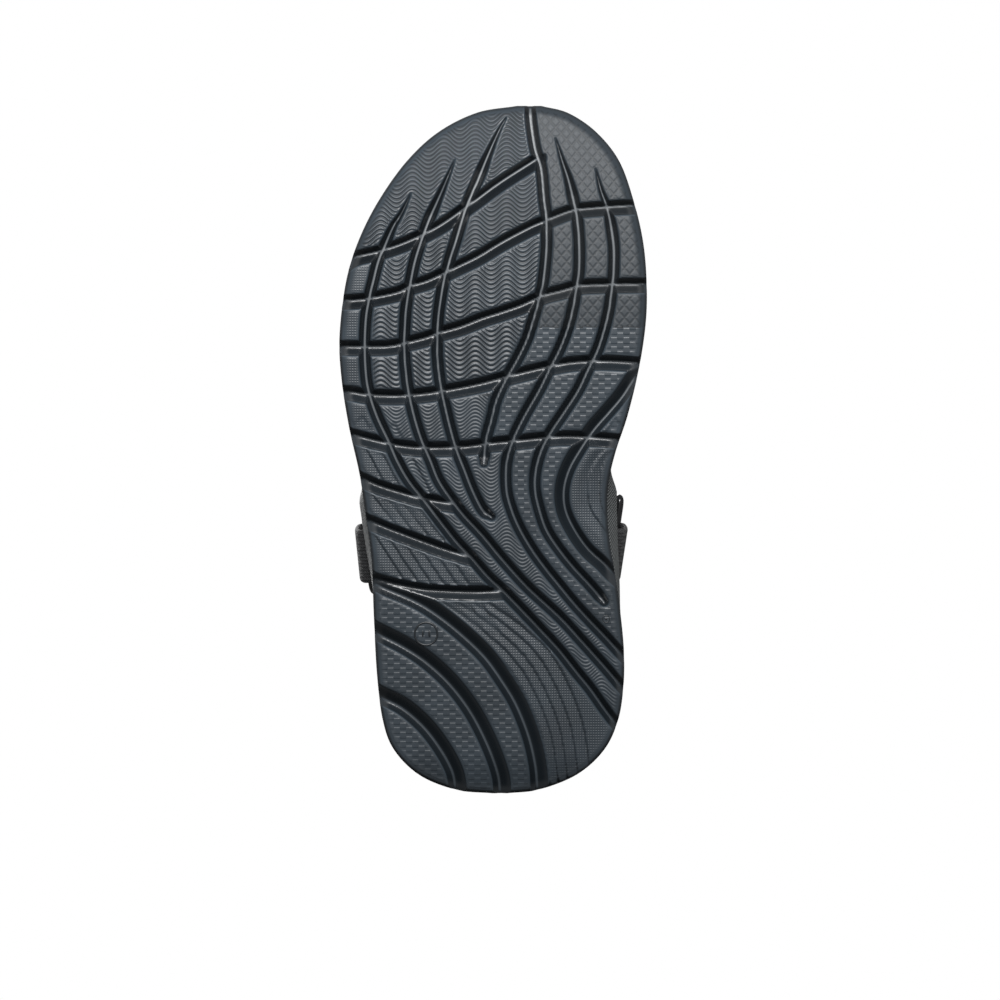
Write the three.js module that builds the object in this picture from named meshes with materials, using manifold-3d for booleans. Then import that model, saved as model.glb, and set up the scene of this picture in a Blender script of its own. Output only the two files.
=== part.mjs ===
// A strappy sport sandal for the right foot, in millimetres, +Z up.
// The toe points to -Y, the inner (medial) side is +X, and Z = 0 is the ground.
import * as THREE from "three";
import { mergeVertices } from "three/addons/utils/BufferGeometryUtils.js";
import Module from "manifold-3d";

// ---------------------------------------------------------------- driving dimensions
const SOLE_LENGTH = 256;
const SOLE_WIDTH = 114;
const GAP = 0.3;                      // between neighbouring pieces

const TOE_SPRING = 13;                // how far the toe tip lifts off the ground
const TOE_SPRING_REACH = 88;          // length of the lifted part
const HEEL_BEVEL = 2.5;               // how far the back edge lifts
const HEEL_BEVEL_REACH = 16;

const OUTSOLE_THICKNESS = 6.5;
const LONG_GROOVE_DEPTH = 3.2;
const CROSS_GROOVE_DEPTH = 2.9;
const GROOVE_FLOOR = 1.3;             // flat width at the bottom of a groove
const LONG_GROOVE_WIDTH = 4.6;        // width at the ground of the lengthwise grooves
const CROSS_GROOVE_WIDTH = 5.6;

const FOREFOOT_HEIGHT = 18.5;         // top of the midsole under the toes
const HEEL_HEIGHT = 28.5;             // top of the midsole under the heel
const MIDSOLE_TAPER = 1.5;            // how far the top edge of the midsole leans in
const MEDIAL_FLARE = 4.4;             // how far the midsole stands out at the waist
const LATERAL_FLARE = 2.6;

const FOOTBED_THICKNESS = 4.7;
const FOOTBED_INSET = 3.6;
const FOOTBED_RIM = 4.5;              // height of the raised edge around the heel
const NOTCH_DEPTH = 1.9;              // cut into the footbed's edge where a strap passes

const WEBBING = 1.8;                  // thickness of every strap
const TAB_WIDTH = 20;
const TAB_SETBACK = 2.2;              // tab's middle heelwards of the ring's lower bar
const TOE_STRAP_WIDTH = 22;
const INSTEP_STRAP_WIDTH = 20;
const HEEL_STRAP_WIDTH = 15;
const SLOT_REACH = 13;                // how far a strap runs in under the footbed
const SLOT_CLEARANCE = 0.45;

const PAD_THICKNESS = 3.6;
const PAD_GAP = 0.5;                  // between a pad and its strap
const TOE_PAD_WIDTH = 29;
const INSTEP_PAD_WIDTH = 31;
const HEEL_PAD_WIDTH = 27;
const PATCH_THICKNESS = 0.9;
const PATCH_MARGIN = 1;               // how far a hook or loop patch stays inside its strap

const TOE_STRAP_HEIGHT = 39;          // underside of the toe strap above the footbed
const INSTEP_HEIGHT = 56;             // underside of the instep strap above the footbed
const HEEL_STRAP_HEIGHT = 43;         // middle of the heel strap above the footbed
const HEEL_BACK_SETBACK = 12;         // heel strap's middle to the back end of the sole

const RING_THICKNESS = 3;
const RING_BAR = 4.4;                 // width of a ring's bars
const RING_CLEARANCE = 0.6;           // between a ring and the webbing around it
const RING_ROOM_LENGTH = 25.5;        // ring's lower bar beyond three strap turns
const RING_ROOM_RISE = 17.9;          // ring's height beyond three strap turns
const RING_APEX = 8;                  // top corner heelwards of the lower bar's middle
const INSTEP_SHIFT = 2.2;             // instep strap's middle above the middle of its bar
const RING_HEIGHT = 11.9;             // ring's lower bar above the midsole
const RING_LEAN = 0.31;               // radians, top of the ring towards the foot

const INK = 0x2b2f33;
const RUBBER = 0x34393d;
const GREY = 0x55595c;
const WEB_BLACK = 0x1e1f21;

const lengthScale = SOLE_LENGTH / 256;
const widthScale = SOLE_WIDTH / 114;
const stackPitch = WEBBING / 2 + GAP;                    // strap's middle to the next layer
const padTop = -WEBBING / 2 - PAD_GAP;
const loopPatchOffset = stackPitch + PATCH_THICKNESS / 2;
const hookPatchOffset = loopPatchOffset + PATCH_THICKNESS + GAP;
const flapOffset = hookPatchOffset + PATCH_THICKNESS / 2 + GAP + WEBBING / 2;
const turnOut = RING_THICKNESS / 2 + RING_CLEARANCE + WEBBING / 2;    // across the ring
const turnIn = RING_BAR / 2 + RING_CLEARANCE + WEBBING / 2;           // in the ring's plane
const ringLength = RING_ROOM_LENGTH + 3 * turnIn;        // between the middles of the lower corners
const ringRise = RING_ROOM_RISE + 3 * turnIn;            // from the lower bar to the top corner

const wasm = await Module();
wasm.setup();

// ---------------------------------------------------------------- small tools
const vec = (x, y, z = 0) => new THREE.Vector3(x, y, z);
const mix = THREE.MathUtils.lerp;
const smooth = (value, from, to) => THREE.MathUtils.smoothstep(value, from, to);
const scaled = ([x, y]) => vec(x * widthScale, y * lengthScale);

// A box cut into nx, ny and nz cells whose corners are moved to place(a, b, c), a, b, c = 0..1.
function shapedBox(nx, ny, nz, place) {
  const geometry = new THREE.BoxGeometry(1, 1, 1, nx, ny, nz);
  const corners = geometry.attributes.position;
  for (let i = 0; i < corners.count; i += 1) {
    const moved = place(corners.getX(i) + 0.5, corners.getY(i) + 0.5, corners.getZ(i) + 0.5);
    corners.setXYZ(i, moved.x, moved.y, moved.z);
  }
  return closed(geometry);
}

// Position-only geometry with shared corners and outward faces.
function closed(geometry) {
  geometry.deleteAttribute("normal");
  geometry.deleteAttribute("uv");
  const merged = mergeVertices(geometry, 1e-4);
  if (signedVolume(merged) < 0) {
    const index = merged.index;
    for (let i = 0; i < index.count; i += 3) {
      const first = index.getX(i);
      index.setX(i, index.getX(i + 1));
      index.setX(i + 1, first);
    }
  }
  return merged;
}

function signedVolume(geometry) {
  const corner = geometry.attributes.position;
  const index = geometry.index;
  const [a, b, c] = [vec(0, 0), vec(0, 0), vec(0, 0)];
  let total = 0;
  for (let i = 0; i < index.count; i += 3) {
    a.fromBufferAttribute(corner, index.getX(i));
    b.fromBufferAttribute(corner, index.getX(i + 1));
    c.fromBufferAttribute(corner, index.getX(i + 2));
    total += a.dot(b.cross(c)) / 6;
  }
  return total;
}

function toSolid(geometry) {
  return new wasm.Manifold(new wasm.Mesh({
    numProp: 3,
    vertProperties: Float32Array.from(geometry.attributes.position.array),
    triVerts: Uint32Array.from(geometry.index.array),
  }));
}

function cut(geometry, cutters) {
  const SLIVER = 0.01;                // features of the cut smaller than this are merged away
  const left = cutters.reduce((solid, cutter) => solid.subtract(toSolid(cutter)), toSolid(geometry));
  const mesh = left.simplify(SLIVER).getMesh();
  const result = new THREE.BufferGeometry();
  result.setAttribute("position", new THREE.BufferAttribute(Float32Array.from(mesh.vertProperties), 3));
  result.setIndex(new THREE.BufferAttribute(Uint32Array.from(mesh.triVerts), 1));
  return result;
}

// ---------------------------------------------------------------- the sole's form
// Both edges of the sole seen from above, from the toe tip to the back of the heel.
const lateralEdge = new THREE.CatmullRomCurve3([
  [9, -128], [-6, -125.4], [-20.4, -118], [-32.2, -106.9], [-42.6, -92], [-50, -77], [-54.5, -62],
  [-56.9, -42], [-56.2, -26], [-53.4, -8], [-49.6, 9], [-47, 26], [-45, 42], [-44.2, 62], [-43, 84],
  [-40.8, 101], [-36.5, 112], [-27, 121.3], [-13.5, 126.7], [0, 128],
].map(scaled));
const medialEdge = new THREE.CatmullRomCurve3([
  [18, -128], [28.2, -125.2], [38.5, -118], [47, -107], [52.3, -92], [55.7, -77], [57, -62], [56.7, -47],
  [54.2, -30], [50, -12.5], [45.4, 1.5], [42.8, 13], [42.4, 23], [43.2, 34], [45, 45], [46.9, 58],
  [48.5, 74], [48.4, 88], [46.3, 101], [41, 112], [31, 121], [17, 126.6], [5, 128],
].map(scaled));

const toeStart = -SOLE_LENGTH / 2 + TOE_SPRING_REACH;
const heelStart = SOLE_LENGTH / 2 - HEEL_BEVEL_REACH;

// How far the sole's underside stands off the ground at y.
function rocker(y) {
  const toe = Math.max(0, (toeStart - y) / TOE_SPRING_REACH);
  const heel = Math.max(0, (y - heelStart) / HEEL_BEVEL_REACH);
  return TOE_SPRING * toe ** 2 + HEEL_BEVEL * heel ** 2;
}

const midsoleTop = (y) => mix(FOREFOOT_HEIGHT, HEEL_HEIGHT, smooth(y, -30, 70)) + rocker(y) * (y < 0 ? 1 : 0);
const footbedTop = (y) => midsoleTop(y) + GAP + FOOTBED_THICKNESS;

// How far the midsole stands out past the outsole, by side, along the waist.
const medialFlare = (y) => MEDIAL_FLARE * smooth(y, 5, 17) * (1 - smooth(y, 24, 74));
const lateralFlare = (y) => LATERAL_FLARE * smooth(y, 12, 20) * (1 - smooth(y, 34, 64));

// A layer of the sole: across runs from the lateral edge to the medial edge,
// spread(side, y, up) moves an edge outwards, height(y, up, rim) gives z and rim is 1 at the edge.
function soleLayer(cellsAcross, cellsUp, spread, height) {
  const CELLS_ALONG = 42;
  return shapedBox(cellsAcross, CELLS_ALONG, cellsUp, (across, along, up) => {
    const left = lateralEdge.getPointAt(along);
    const right = medialEdge.getPointAt(along);
    pushOut(left, lateralEdge.getTangentAt(along), 1, spread("lateral", left.y, up));
    pushOut(right, medialEdge.getTangentAt(along), -1, spread("medial", right.y, up));
    const point = left.lerp(right, across);
    point.z = height(point.y, up, Math.max(Math.abs(2 * across - 1), 2 * along - 1));
    return point;
  });
}

function pushOut(point, tangent, turn, distance) {
  point.x -= turn * tangent.y * distance;
  point.y += turn * tangent.x * distance;
}

function edgeX(edge, y) {
  let low = 0.1;
  let high = 0.9;
  for (let i = 0; i < 30; i += 1) {
    const middle = (low + high) / 2;
    if (edge.getPointAt(middle).y < y) {
      low = middle;
    } else {
      high = middle;
    }
  }
  return edge.getPointAt(low).x;
}

// ---------------------------------------------------------------- tread grooves
// Centre lines of the grooves in the tread, from the toe down and from the lateral side across.
const LONG_GROOVES = [
  [[12.6, -132], [15.6, -112], [19, -92.5], [19.8, -76], [17, -55], [12.6, -40], [6.8, -29], [1.3, -18],
    [-2, -7], [-3.4, 5.6]],
  [[4.8, -123], [-1.5, -110], [-10, -89.5], [-17.2, -66], [-20.7, -38.5], [-17.5, -14.5], [-9.3, 11.7],
    [-0.6, 25.5]],
  [[-14.2, -107], [-25.2, -81], [-31.8, -55], [-32.9, -40], [-29.8, -14.5], [-20.3, 11.7], [-4.1, 32],
    [13.7, 52.4], [36.3, 75.6], [53, 95]],
  [[-30.5, -94.6], [-40, -75], [-46.8, -51], [-47.6, -38], [-42.5, -10.6], [-31.5, 11.7], [-13.5, 34.8],
    [3.7, 52.8], [24.5, 74.8], [41.7, 97], [52, 109]],
  [[23.2, -115.4], [28.8, -97.5], [32, -72], [29.9, -53.6], [20.8, -29], [8.5, -5.7], [4.7, 11],
    [9.8, 29.6], [26.8, 53.6], [45, 73.5], [54, 83]],
  [[37.8, -103], [43, -86.6], [44.9, -66], [40.1, -40], [29.8, -18], [16.9, 4.3], [17.2, 22.8],
    [30, 44.3], [41.9, 57.6]],
  [[60, -36], [45.2, -16], [32.3, 0.6], [26.3, 16], [28.5, 26.5], [43.2, 45.2], [54, 56]],
];
const CROSS_GROOVES = [
  [[-60, -68], [-35.9, -75], [-11.9, -87.8], [15.9, -108]],
  [[19.6, -85], [35.9, -89.3], [60, -90.2]],
  [[-63, -54.6], [-37.9, -57], [-5.4, -71.3], [19.6, -84.7]],
  [[-63, -37.8], [-37.9, -38], [-11.9, -45.2], [16.3, -55.2], [35.9, -60.7], [63, -60.9]],
  [[-63, -22], [-34.7, -19.6], [-3.9, -24.2], [21.7, -30.6], [45.5, -32.2], [62, -31.7]],
  [[-60, -7.4], [-30.5, -0.5], [-4.1, -1.3], [20.8, -4.1], [54, -2.8]],
  [[-56, 8], [-32.2, 16.9], [-13.8, 20.6]],
  [[-54, 23.6], [-23.2, 35.5], [-8, 40.3]],
  [[-52, 46.6], [-34.5, 49.8], [-7, 52.8], [3.7, 52.7]],
  [[-52, 47], [-23.2, 60.3], [3.5, 85.4], [15.7, 117.6], [17, 134]],
  [[-52, 65], [-20.7, 83], [-2.2, 109.7], [3.4, 134]],
  [[-50, 88], [-26.1, 103], [-15.3, 119.5], [-12.5, 134]],
];

function grooveCutter(points, width, depth) {
  const BELOW = 1;                    // the cutter starts this far under the tread
  const line = new THREE.CatmullRomCurve3(points.map(scaled));
  const flare = (width - GROOVE_FLOOR) / 2 / depth;
  const cellsAlong = Math.ceil(points.length * 1.7);
  return shapedBox(cellsAlong, 1, 1, (along, across, up) => {
    const point = line.getPointAt(along);
    const tangent = line.getTangentAt(along);
    const z = mix(-BELOW, depth, up);
    const half = GROOVE_FLOOR / 2 + (depth - z) * flare;
    pushOut(point, tangent, 1, mix(-half, half, across));
    point.z = z + rocker(point.y);
    return point;
  });
}

// ---------------------------------------------------------------- sole pieces
function outsole() {
  const slab = soleLayer(8, 1, () => 0, (y, up) => rocker(y) + up * OUTSOLE_THICKNESS);
  const cutters = [
    ...LONG_GROOVES.map((points) => grooveCutter(points, LONG_GROOVE_WIDTH, LONG_GROOVE_DEPTH)),
    ...CROSS_GROOVES.map((points) => grooveCutter(points, CROSS_GROOVE_WIDTH, CROSS_GROOVE_DEPTH)),
  ];
  return cut(slab, cutters);
}

function midsole(slots) {
  const bulge = (up) => Math.min(1, up * 1.8);
  const spread = (side, y, up) => {
    const flare = side === "medial" ? medialFlare(y) : lateralFlare(y);
    return flare * bulge(up) - MIDSOLE_TAPER * up ** 2;
  };
  const bottom = (y) => rocker(y) + OUTSOLE_THICKNESS + GAP;
  return cut(soleLayer(6, 3, spread, (y, up) => mix(bottom(y), midsoleTop(y), up)), slots);
}

function footbed(notches) {
  const raised = (y, rim) => FOOTBED_RIM * smooth(y, -20, 60) * rim ** 6;
  return cut(soleLayer(8, 1, () => -FOOTBED_INSET, (y, up, rim) => (
    midsoleTop(y) + GAP + up * (FOOTBED_THICKNESS + raised(y, rim))
  )), notches);
}

// ---------------------------------------------------------------- strap routes
// A strap's middle line with its width direction: stations are { at, wide } vectors.
// The strap's outer face looks along tangent x wide.
class Route {
  constructor(stations) {
    this.line = new THREE.CatmullRomCurve3(stations.map((s) => s.at), false, "centripetal");
    this.line.arcLengthDivisions = 600;
    this.wide = new THREE.CatmullRomCurve3(stations.map((s) => s.wide), false, "centripetal");
    this.wide.curveType = "catmullrom";
    this.length = this.line.getLength();
    this.knots = this.divide();
  }

  // Distances where the bands on this route are divided, closer together where it turns or twists.
  divide() {
    const [WALK, LONGEST, TURN, TWIST] = [0.5, 5.5, 0.25, 0.09];
    const knots = [0];
    let last = this.frame(0);
    for (let distance = WALK; distance < this.length; distance += WALK) {
      const here = this.frame(distance);
      const turned = here.along.angleTo(last.along) > TURN || here.wide.angleTo(last.wide) > TWIST;
      if (turned || distance - knots.at(-1) > LONGEST) {
        knots.push(distance);
        last = here;
      }
    }
    return knots;
  }

  between(from, to) {
    const NEAR = 0.6;
    return [from, ...this.knots.filter((knot) => knot > from + NEAR && knot < to - NEAR), to];
  }

  frame(distance) {
    const t = this.line.getUtoTmapping(distance / this.length);
    const at = this.line.getPoint(t);
    const along = this.line.getTangent(t);
    const wide = this.wide.getPoint(t);
    wide.addScaledVector(along, -wide.dot(along)).normalize();
    return { at, along, wide, out: along.clone().cross(wide) };
  }

  distanceAt(station) {
    const share = station / (this.line.points.length - 1);
    return this.line.getLengths()[Math.round(share * this.line.arcLengthDivisions)];
  }

  point(distance, sideways, outwards) {
    const { at, wide, out } = this.frame(distance);
    return at.addScaledVector(wide, sideways).addScaledVector(out, outwards);
  }
}

// A flat band along a route; offset is a number or a function of the distance.
function band(route, from, to, width, offset, thickness) {
  const offsetAt = typeof offset === "function" ? offset : () => offset;
  const stops = route.between(from, to);
  const cells = stops.length - 1;
  return shapedBox(cells, 2, 1, (along, across, up) => {
    const distance = stops[Math.round(along * cells)];
    const outwards = offsetAt(distance) + (up - 0.5) * thickness;
    return route.point(distance, (across - 0.5) * width, outwards);
  });
}

// A loose flap along a route from its hinge to its tip; the hinge end is rounded about its pin line.
function flap(route, hinge, tip, width, offsetAt) {
  const reach = WEBBING / 2;
  const direction = Math.sign(tip - hinge);
  const round = [[0, 0.3], [0.15, 0.53], [0.45, 0.84]];
  const low = Math.min(hinge + direction * reach, tip);
  const high = Math.max(hinge + direction * reach, tip);
  const rest = route.between(low, high).map((distance) => [distance, 1]);
  const ordered = direction > 0 ? rest : rest.reverse();
  const ends = round.map(([share, height]) => [hinge + direction * reach * share, height]);
  const stops = [...ends, ...ordered];
  const cells = stops.length - 1;
  return shapedBox(cells, 2, 1, (along, across, up) => {
    const [distance, height] = stops[Math.round(along * cells)];
    const outwards = offsetAt(distance) + (up - 0.5) * WEBBING * height;
    return route.point(distance, (across - 0.5) * width, outwards);
  });
}

// A pad under a band: thick in the middle and thin at its long edges and ends.
function pad(route, from, to, width, top, thickness) {
  const EDGE = 0.45;                  // share of the thickness left at the rim
  const crown = (share) => 1 - (2 * share - 1) ** 4;
  const stops = route.between(from, to);
  const cells = stops.length - 1;
  return shapedBox(cells, 4, 1, (along, across, up) => {
    const here = thickness * mix(EDGE, 1, crown(along) * crown(across));
    const outwards = top - (1 - up) * here;
    return route.point(stops[Math.round(along * cells)], (across - 0.5) * width, outwards);
  });
}

// ---------------------------------------------------------------- strap rings
// A ring's own axes: long runs heelwards along the sole's edge, up and out as named.
const RING_CORNERS = [[-ringLength / 2, 0], [ringLength / 2, 0], [RING_APEX, ringRise]];

function ringFrame(side, y, standOff, yaw) {
  const sign = side === "medial" ? 1 : -1;
  const edge = edgeX(side === "medial" ? medialEdge : lateralEdge, y);
  const slope = (midsoleTop(y + 5) - midsoleTop(y - 5)) / 10;
  const long = vec(-sign * yaw, 1, slope).normalize();
  const out = vec(sign, yaw, 0).normalize();
  const up = out.clone().cross(long).multiplyScalar(sign);
  const origin = vec(edge + sign * standOff, y, midsoleTop(y) + RING_HEIGHT);
  const leanUp = up.clone().multiplyScalar(Math.cos(RING_LEAN)).addScaledVector(out, -Math.sin(RING_LEAN));
  const leanOut = out.clone().multiplyScalar(Math.cos(RING_LEAN)).addScaledVector(up, Math.sin(RING_LEAN));
  const point = (p, q, r) => (
    origin.clone().addScaledVector(long, p).addScaledVector(leanUp, q).addScaledVector(leanOut, r)
  );
  return { origin, long, out, up, leanUp, leanOut, point, standOff };
}

// A side bar of a ring, with a strap shift mm above the bar's middle:
// the direction along the bar, and point(distance away from the ring, outwards).
function ringBar(frame, from, to, shift) {
  const span = Math.hypot(to[0] - from[0], to[1] - from[1]);
  const [dp, dq] = [(to[0] - from[0]) / span, (to[1] - from[1]) / span];
  const middle = [(from[0] + to[0]) / 2 + dp * shift, (from[1] + to[1]) / 2 + dq * shift];
  const along = frame.long.clone().multiplyScalar(dp).addScaledVector(frame.leanUp, dq);
  const away = Math.sign(-dq * middle[0] + dp * (middle[1] - 8)) || 1;
  const point = (distance, outwards) => frame.point(
    middle[0] - away * dq * distance,
    middle[1] + away * dp * distance,
    outwards,
  );
  return { along, point };
}

function offsetCorners(corners, distance) {
  return corners.map((corner, i) => {
    const before = corners[(i + corners.length - 1) % corners.length];
    const after = corners[(i + 1) % corners.length];
    const a = new THREE.Vector2(corner[0] - before[0], corner[1] - before[1]).normalize();
    const b = new THREE.Vector2(after[0] - corner[0], after[1] - corner[1]).normalize();
    const turn = a.x * b.y - a.y * b.x;
    const reach = distance / turn;
    return [corner[0] + (a.x - b.x) * reach, corner[1] + (a.y - b.y) * reach];
  });
}

function roundedPath(path, corners, cutBack) {
  corners.forEach((corner, i) => {
    const before = corners[(i + corners.length - 1) % corners.length];
    const after = corners[(i + 1) % corners.length];
    const toBefore = cutBack / Math.hypot(before[0] - corner[0], before[1] - corner[1]);
    const toAfter = cutBack / Math.hypot(after[0] - corner[0], after[1] - corner[1]);
    const start = [mix(corner[0], before[0], toBefore), mix(corner[1], before[1], toBefore)];
    const end = [mix(corner[0], after[0], toAfter), mix(corner[1], after[1], toAfter)];
    if (i === 0) {
      path.moveTo(...start);
    } else {
      path.lineTo(...start);
    }
    path.quadraticCurveTo(...corner, ...end);
  });
  path.closePath();
  return path;
}

function ring(frame) {
  const BEVEL = 0.8;
  const body = RING_BAR / 2 - BEVEL;
  const shape = roundedPath(new THREE.Shape(), offsetCorners(RING_CORNERS, body), 7);
  shape.holes.push(roundedPath(new THREE.Path(), offsetCorners(RING_CORNERS, -body), 2.5));
  const geometry = new THREE.ExtrudeGeometry(shape, {
    depth: RING_THICKNESS - 2 * BEVEL,
    bevelThickness: BEVEL,
    bevelSize: BEVEL,
    bevelSegments: 2,
    curveSegments: 5,
  });
  geometry.translate(0, 0, BEVEL - RING_THICKNESS / 2);
  const across = frame.long.clone().cross(frame.leanUp);
  geometry.applyMatrix4(new THREE.Matrix4().makeBasis(frame.long, frame.leanUp, across));
  geometry.translate(frame.origin.x, frame.origin.y, frame.origin.z);
  return closed(geometry);
}

// ---------------------------------------------------------------- webbing tabs that hold the rings
const PLY_PITCH = WEBBING + 0.4;
const slotDepth = 0.4 + WEBBING + PLY_PITCH;

// The tab leaves the sole, goes up outside the ring's lower bar, round it and back down inside.
function tabRoute(frame) {
  const top = -RING_HEIGHT;           // height of the midsole's top seen from the ring's bar
  const upper = top - 0.4 - WEBBING / 2;
  const lower = upper - PLY_PITCH;
  const [out, rise] = [turnOut + 0.4, turnIn + 0.2];
  const section = [
    [-SLOT_REACH, lower], [-4, lower], [out - 1.6, lower + 0.5], [out - 0.3, lower + 3.4],
    [out + 0.2, top + 4], [out, -2], [out * 0.75, rise * 0.7], [0, rise], [-out * 0.75, rise * 0.7],
    [-out, -2], [-out - 0.2, top + 4], [-out - 0.9, top + 1.3], [-out - 3, upper], [-SLOT_REACH, upper],
  ];
  const middle = frame.origin.clone().addScaledVector(frame.long, TAB_SETBACK);
  const wide = frame.long.clone().multiplyScalar(frame.out.x > 0 ? 1 : -1);
  return new Route(section.map(([outwards, up]) => ({
    at: middle.clone().addScaledVector(frame.out, outwards).addScaledVector(frame.up, up),
    wide,
  })));
}

function tab(frame) {
  const route = tabRoute(frame);
  return band(route, 0, route.length, TAB_WIDTH, 0, WEBBING);
}

// Where a strap leaves the sole: the point on the top edge of the midsole and three directions.
function tabAnchor(frame) {
  const { long, out, up } = frame;
  const origin = frame.origin.clone().addScaledVector(up, -RING_HEIGHT).addScaledVector(long, TAB_SETBACK);
  return { origin, long, out, up, width: TAB_WIDTH, depth: slotDepth + GAP, edge: frame.standOff };
}

// A block at an anchor, from one distance out to another and from one height to another.
function anchorBlock(anchor, outwards, upwards) {
  return shapedBox(1, 1, 1, (a, b, c) => anchor.origin.clone()
    .addScaledVector(anchor.long, (a - 0.5) * (anchor.width + 2 * SLOT_CLEARANCE))
    .addScaledVector(anchor.out, mix(outwards[0], outwards[1], b))
    .addScaledVector(anchor.up, mix(upwards[0], upwards[1], c)));
}

const PAST_EDGE = 14;                 // the cutters run this far out of the sole

// The slot in the midsole that a strap's end lies in.
const slotCutter = (anchor) => anchorBlock(anchor, [-SLOT_REACH - 1, PAST_EDGE], [-anchor.depth, 6]);

// The notch in the footbed's edge that a strap comes up through.
const notchCutter = (anchor) => (
  anchorBlock(anchor, [-anchor.edge - FOOTBED_INSET - NOTCH_DEPTH, PAST_EDGE], [-2, 16])
);

// ---------------------------------------------------------------- toe strap
const toeY = { lateral: -45 * lengthScale, medial: -62 * lengthScale };
const TOE_SLOT_DEPTH = WEBBING + 2 * GAP;

function toeAnchor(side) {
  const sign = side === "medial" ? 1 : -1;
  const y = toeY[side];
  const x = edgeX(side === "medial" ? medialEdge : lateralEdge, y);
  const slope = (midsoleTop(y + 5) - midsoleTop(y - 5)) / 10;
  const long = vec(0, 1, slope).normalize();
  const out = vec(sign, 0, 0);
  const up = out.clone().cross(long).multiplyScalar(sign);
  const origin = vec(x, y, midsoleTop(y));
  return { origin, long, out, up, width: TOE_STRAP_WIDTH, depth: TOE_SLOT_DEPTH, edge: 0 };
}

function toeRoute() {
  const left = toeAnchor("lateral");
  const right = toeAnchor("medial");
  const near = (anchor, out, up) => ({
    at: anchor.origin.clone().addScaledVector(anchor.out, out).addScaledVector(anchor.up, up),
    wide: anchor.long,
  });
  const under = -GAP - WEBBING / 2;
  const inset = -MIDSOLE_TAPER - WEBBING / 2;
  const ends = [[-SLOT_REACH, under], [inset - 4, under], [inset - 1.4, under + 0.5], [inset, 2], [inset, 7]];
  const shoulder = 13;                // where the strap leaves the edge and bends over the foot
  const rise = TOE_STRAP_HEIGHT + GAP + FOOTBED_THICKNESS + WEBBING / 2 - shoulder;
  const centre = left.origin.clone().lerp(right.origin, 0.5);
  const over = [8, 28, 48, 68, 90, 112, 132, 152, 172].map((degrees) => {
    const angle = THREE.MathUtils.degToRad(degrees);
    const across = -Math.sign(Math.cos(angle)) * Math.abs(Math.cos(angle)) ** 0.8;
    const height = Math.sin(angle) ** 0.85;
    const half = (right.origin.x - left.origin.x) / 2;
    return {
      at: vec(
        centre.x + across * (half + inset),
        mix(left.origin.y, right.origin.y, (across + 1) / 2) - 4 * height,
        centre.z + shoulder + rise * height,
      ),
      wide: vec(0, 1, 0.12 + 0.12 * height),
    };
  });
  return new Route([
    ...ends.map(([out, up]) => near(left, out, up)),
    ...over,
    ...ends.reverse().map(([out, up]) => near(right, out, up)),
  ]);
}

// ---------------------------------------------------------------- straps between the rings
// From one ring's bar, up and round, to the other ring's bar: both ends turn round their bars.
function ringedRoute(start, end, middle, wideSign) {
  const turn = (bar) => [
    [10, turnOut * 0.75], [4, turnOut], [0, turnOut], [-turnIn * 0.75, turnOut * 0.75], [-turnIn, 0],
    [-turnIn * 0.75, -turnOut * 0.75], [0, -turnOut], [5, -turnOut - 0.3],
  ].map(([distance, outwards]) => ({
    at: bar.point(distance, outwards),
    wide: bar.along.clone().multiplyScalar(wideSign),
  }));
  return new Route([...turn(start), ...middle, ...turn(end).reverse()]);
}

const BAR_STATION = 6;                // station of a ringed route just inside its ring's bar

function instepMiddle(start, end) {
  const from = start.point(14, -turnOut - 1.6);
  const to = end.point(14, -turnOut - 1.6);
  const topY = 6 * lengthScale;
  const top = footbedTop(topY) + INSTEP_HEIGHT + WEBBING / 2;
  const half = (to.x - from.x) / 2;
  const centreX = (to.x + from.x) / 2;
  return [0, 22, 45, 68, 90, 112, 135, 158, 180].map((degrees) => {
    const angle = THREE.MathUtils.degToRad(degrees);
    const height = Math.sin(angle) ** 0.95;
    const across = -Math.sign(Math.cos(angle)) * Math.abs(Math.cos(angle)) ** 0.88;
    const share = (across + 1) / 2;
    const base = mix(from.z, to.z, share);
    const baseY = mix(from.y, to.y, share);
    const side = start.along.clone().lerp(end.along, share);
    return {
      at: vec(centreX + half * across, mix(baseY, topY, height), mix(base, top, height)),
      wide: side.lerp(vec(0, 0.86, 0.5), height * 0.9).normalize(),
    };
  });
}

function heelMiddle(start, end) {
  const from = start.point(14, -turnOut - 0.9);
  const to = end.point(14, -turnOut - 0.9);
  const backY = SOLE_LENGTH / 2 - HEEL_BACK_SETBACK;
  const backZ = footbedTop(backY) + HEEL_STRAP_HEIGHT;
  const half = (to.x - from.x) / 2;
  const centreX = (to.x + from.x) / 2;
  return [0, 20, 42, 66, 90, 114, 138, 160, 180].map((degrees) => {
    const angle = THREE.MathUtils.degToRad(degrees);
    const reach = Math.sin(angle) ** 0.9;
    const across = -Math.sign(Math.cos(angle)) * Math.abs(Math.cos(angle)) ** 0.75;
    const share = (across + 1) / 2;
    const narrow = 1 - 0.12 * reach;
    const side = start.along.clone().lerp(end.along, share).negate();
    return {
      at: vec(
        centreX + half * across * narrow,
        mix(mix(from.y, to.y, share), backY, reach),
        mix(mix(from.z, to.z, share), backZ, Math.sqrt(reach)),
      ),
      wide: side.lerp(vec(0, 0.14, -1), reach).normalize(),
    };
  });
}

// ---------------------------------------------------------------- assembly
const lateralRing = ringFrame("lateral", 36 * lengthScale, 1.3, 0.1);
const medialRing = ringFrame("medial", 35.5 * lengthScale, 1.9, 0.15);
const [front, rear, top] = RING_CORNERS;
const frontBars = [lateralRing, medialRing].map((frame) => ringBar(frame, front, top, INSTEP_SHIFT));
const rearBars = [lateralRing, medialRing].map((frame) => ringBar(frame, rear, top, 0));

const group = new THREE.Group();
group.name = "sport_sandal";

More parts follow.
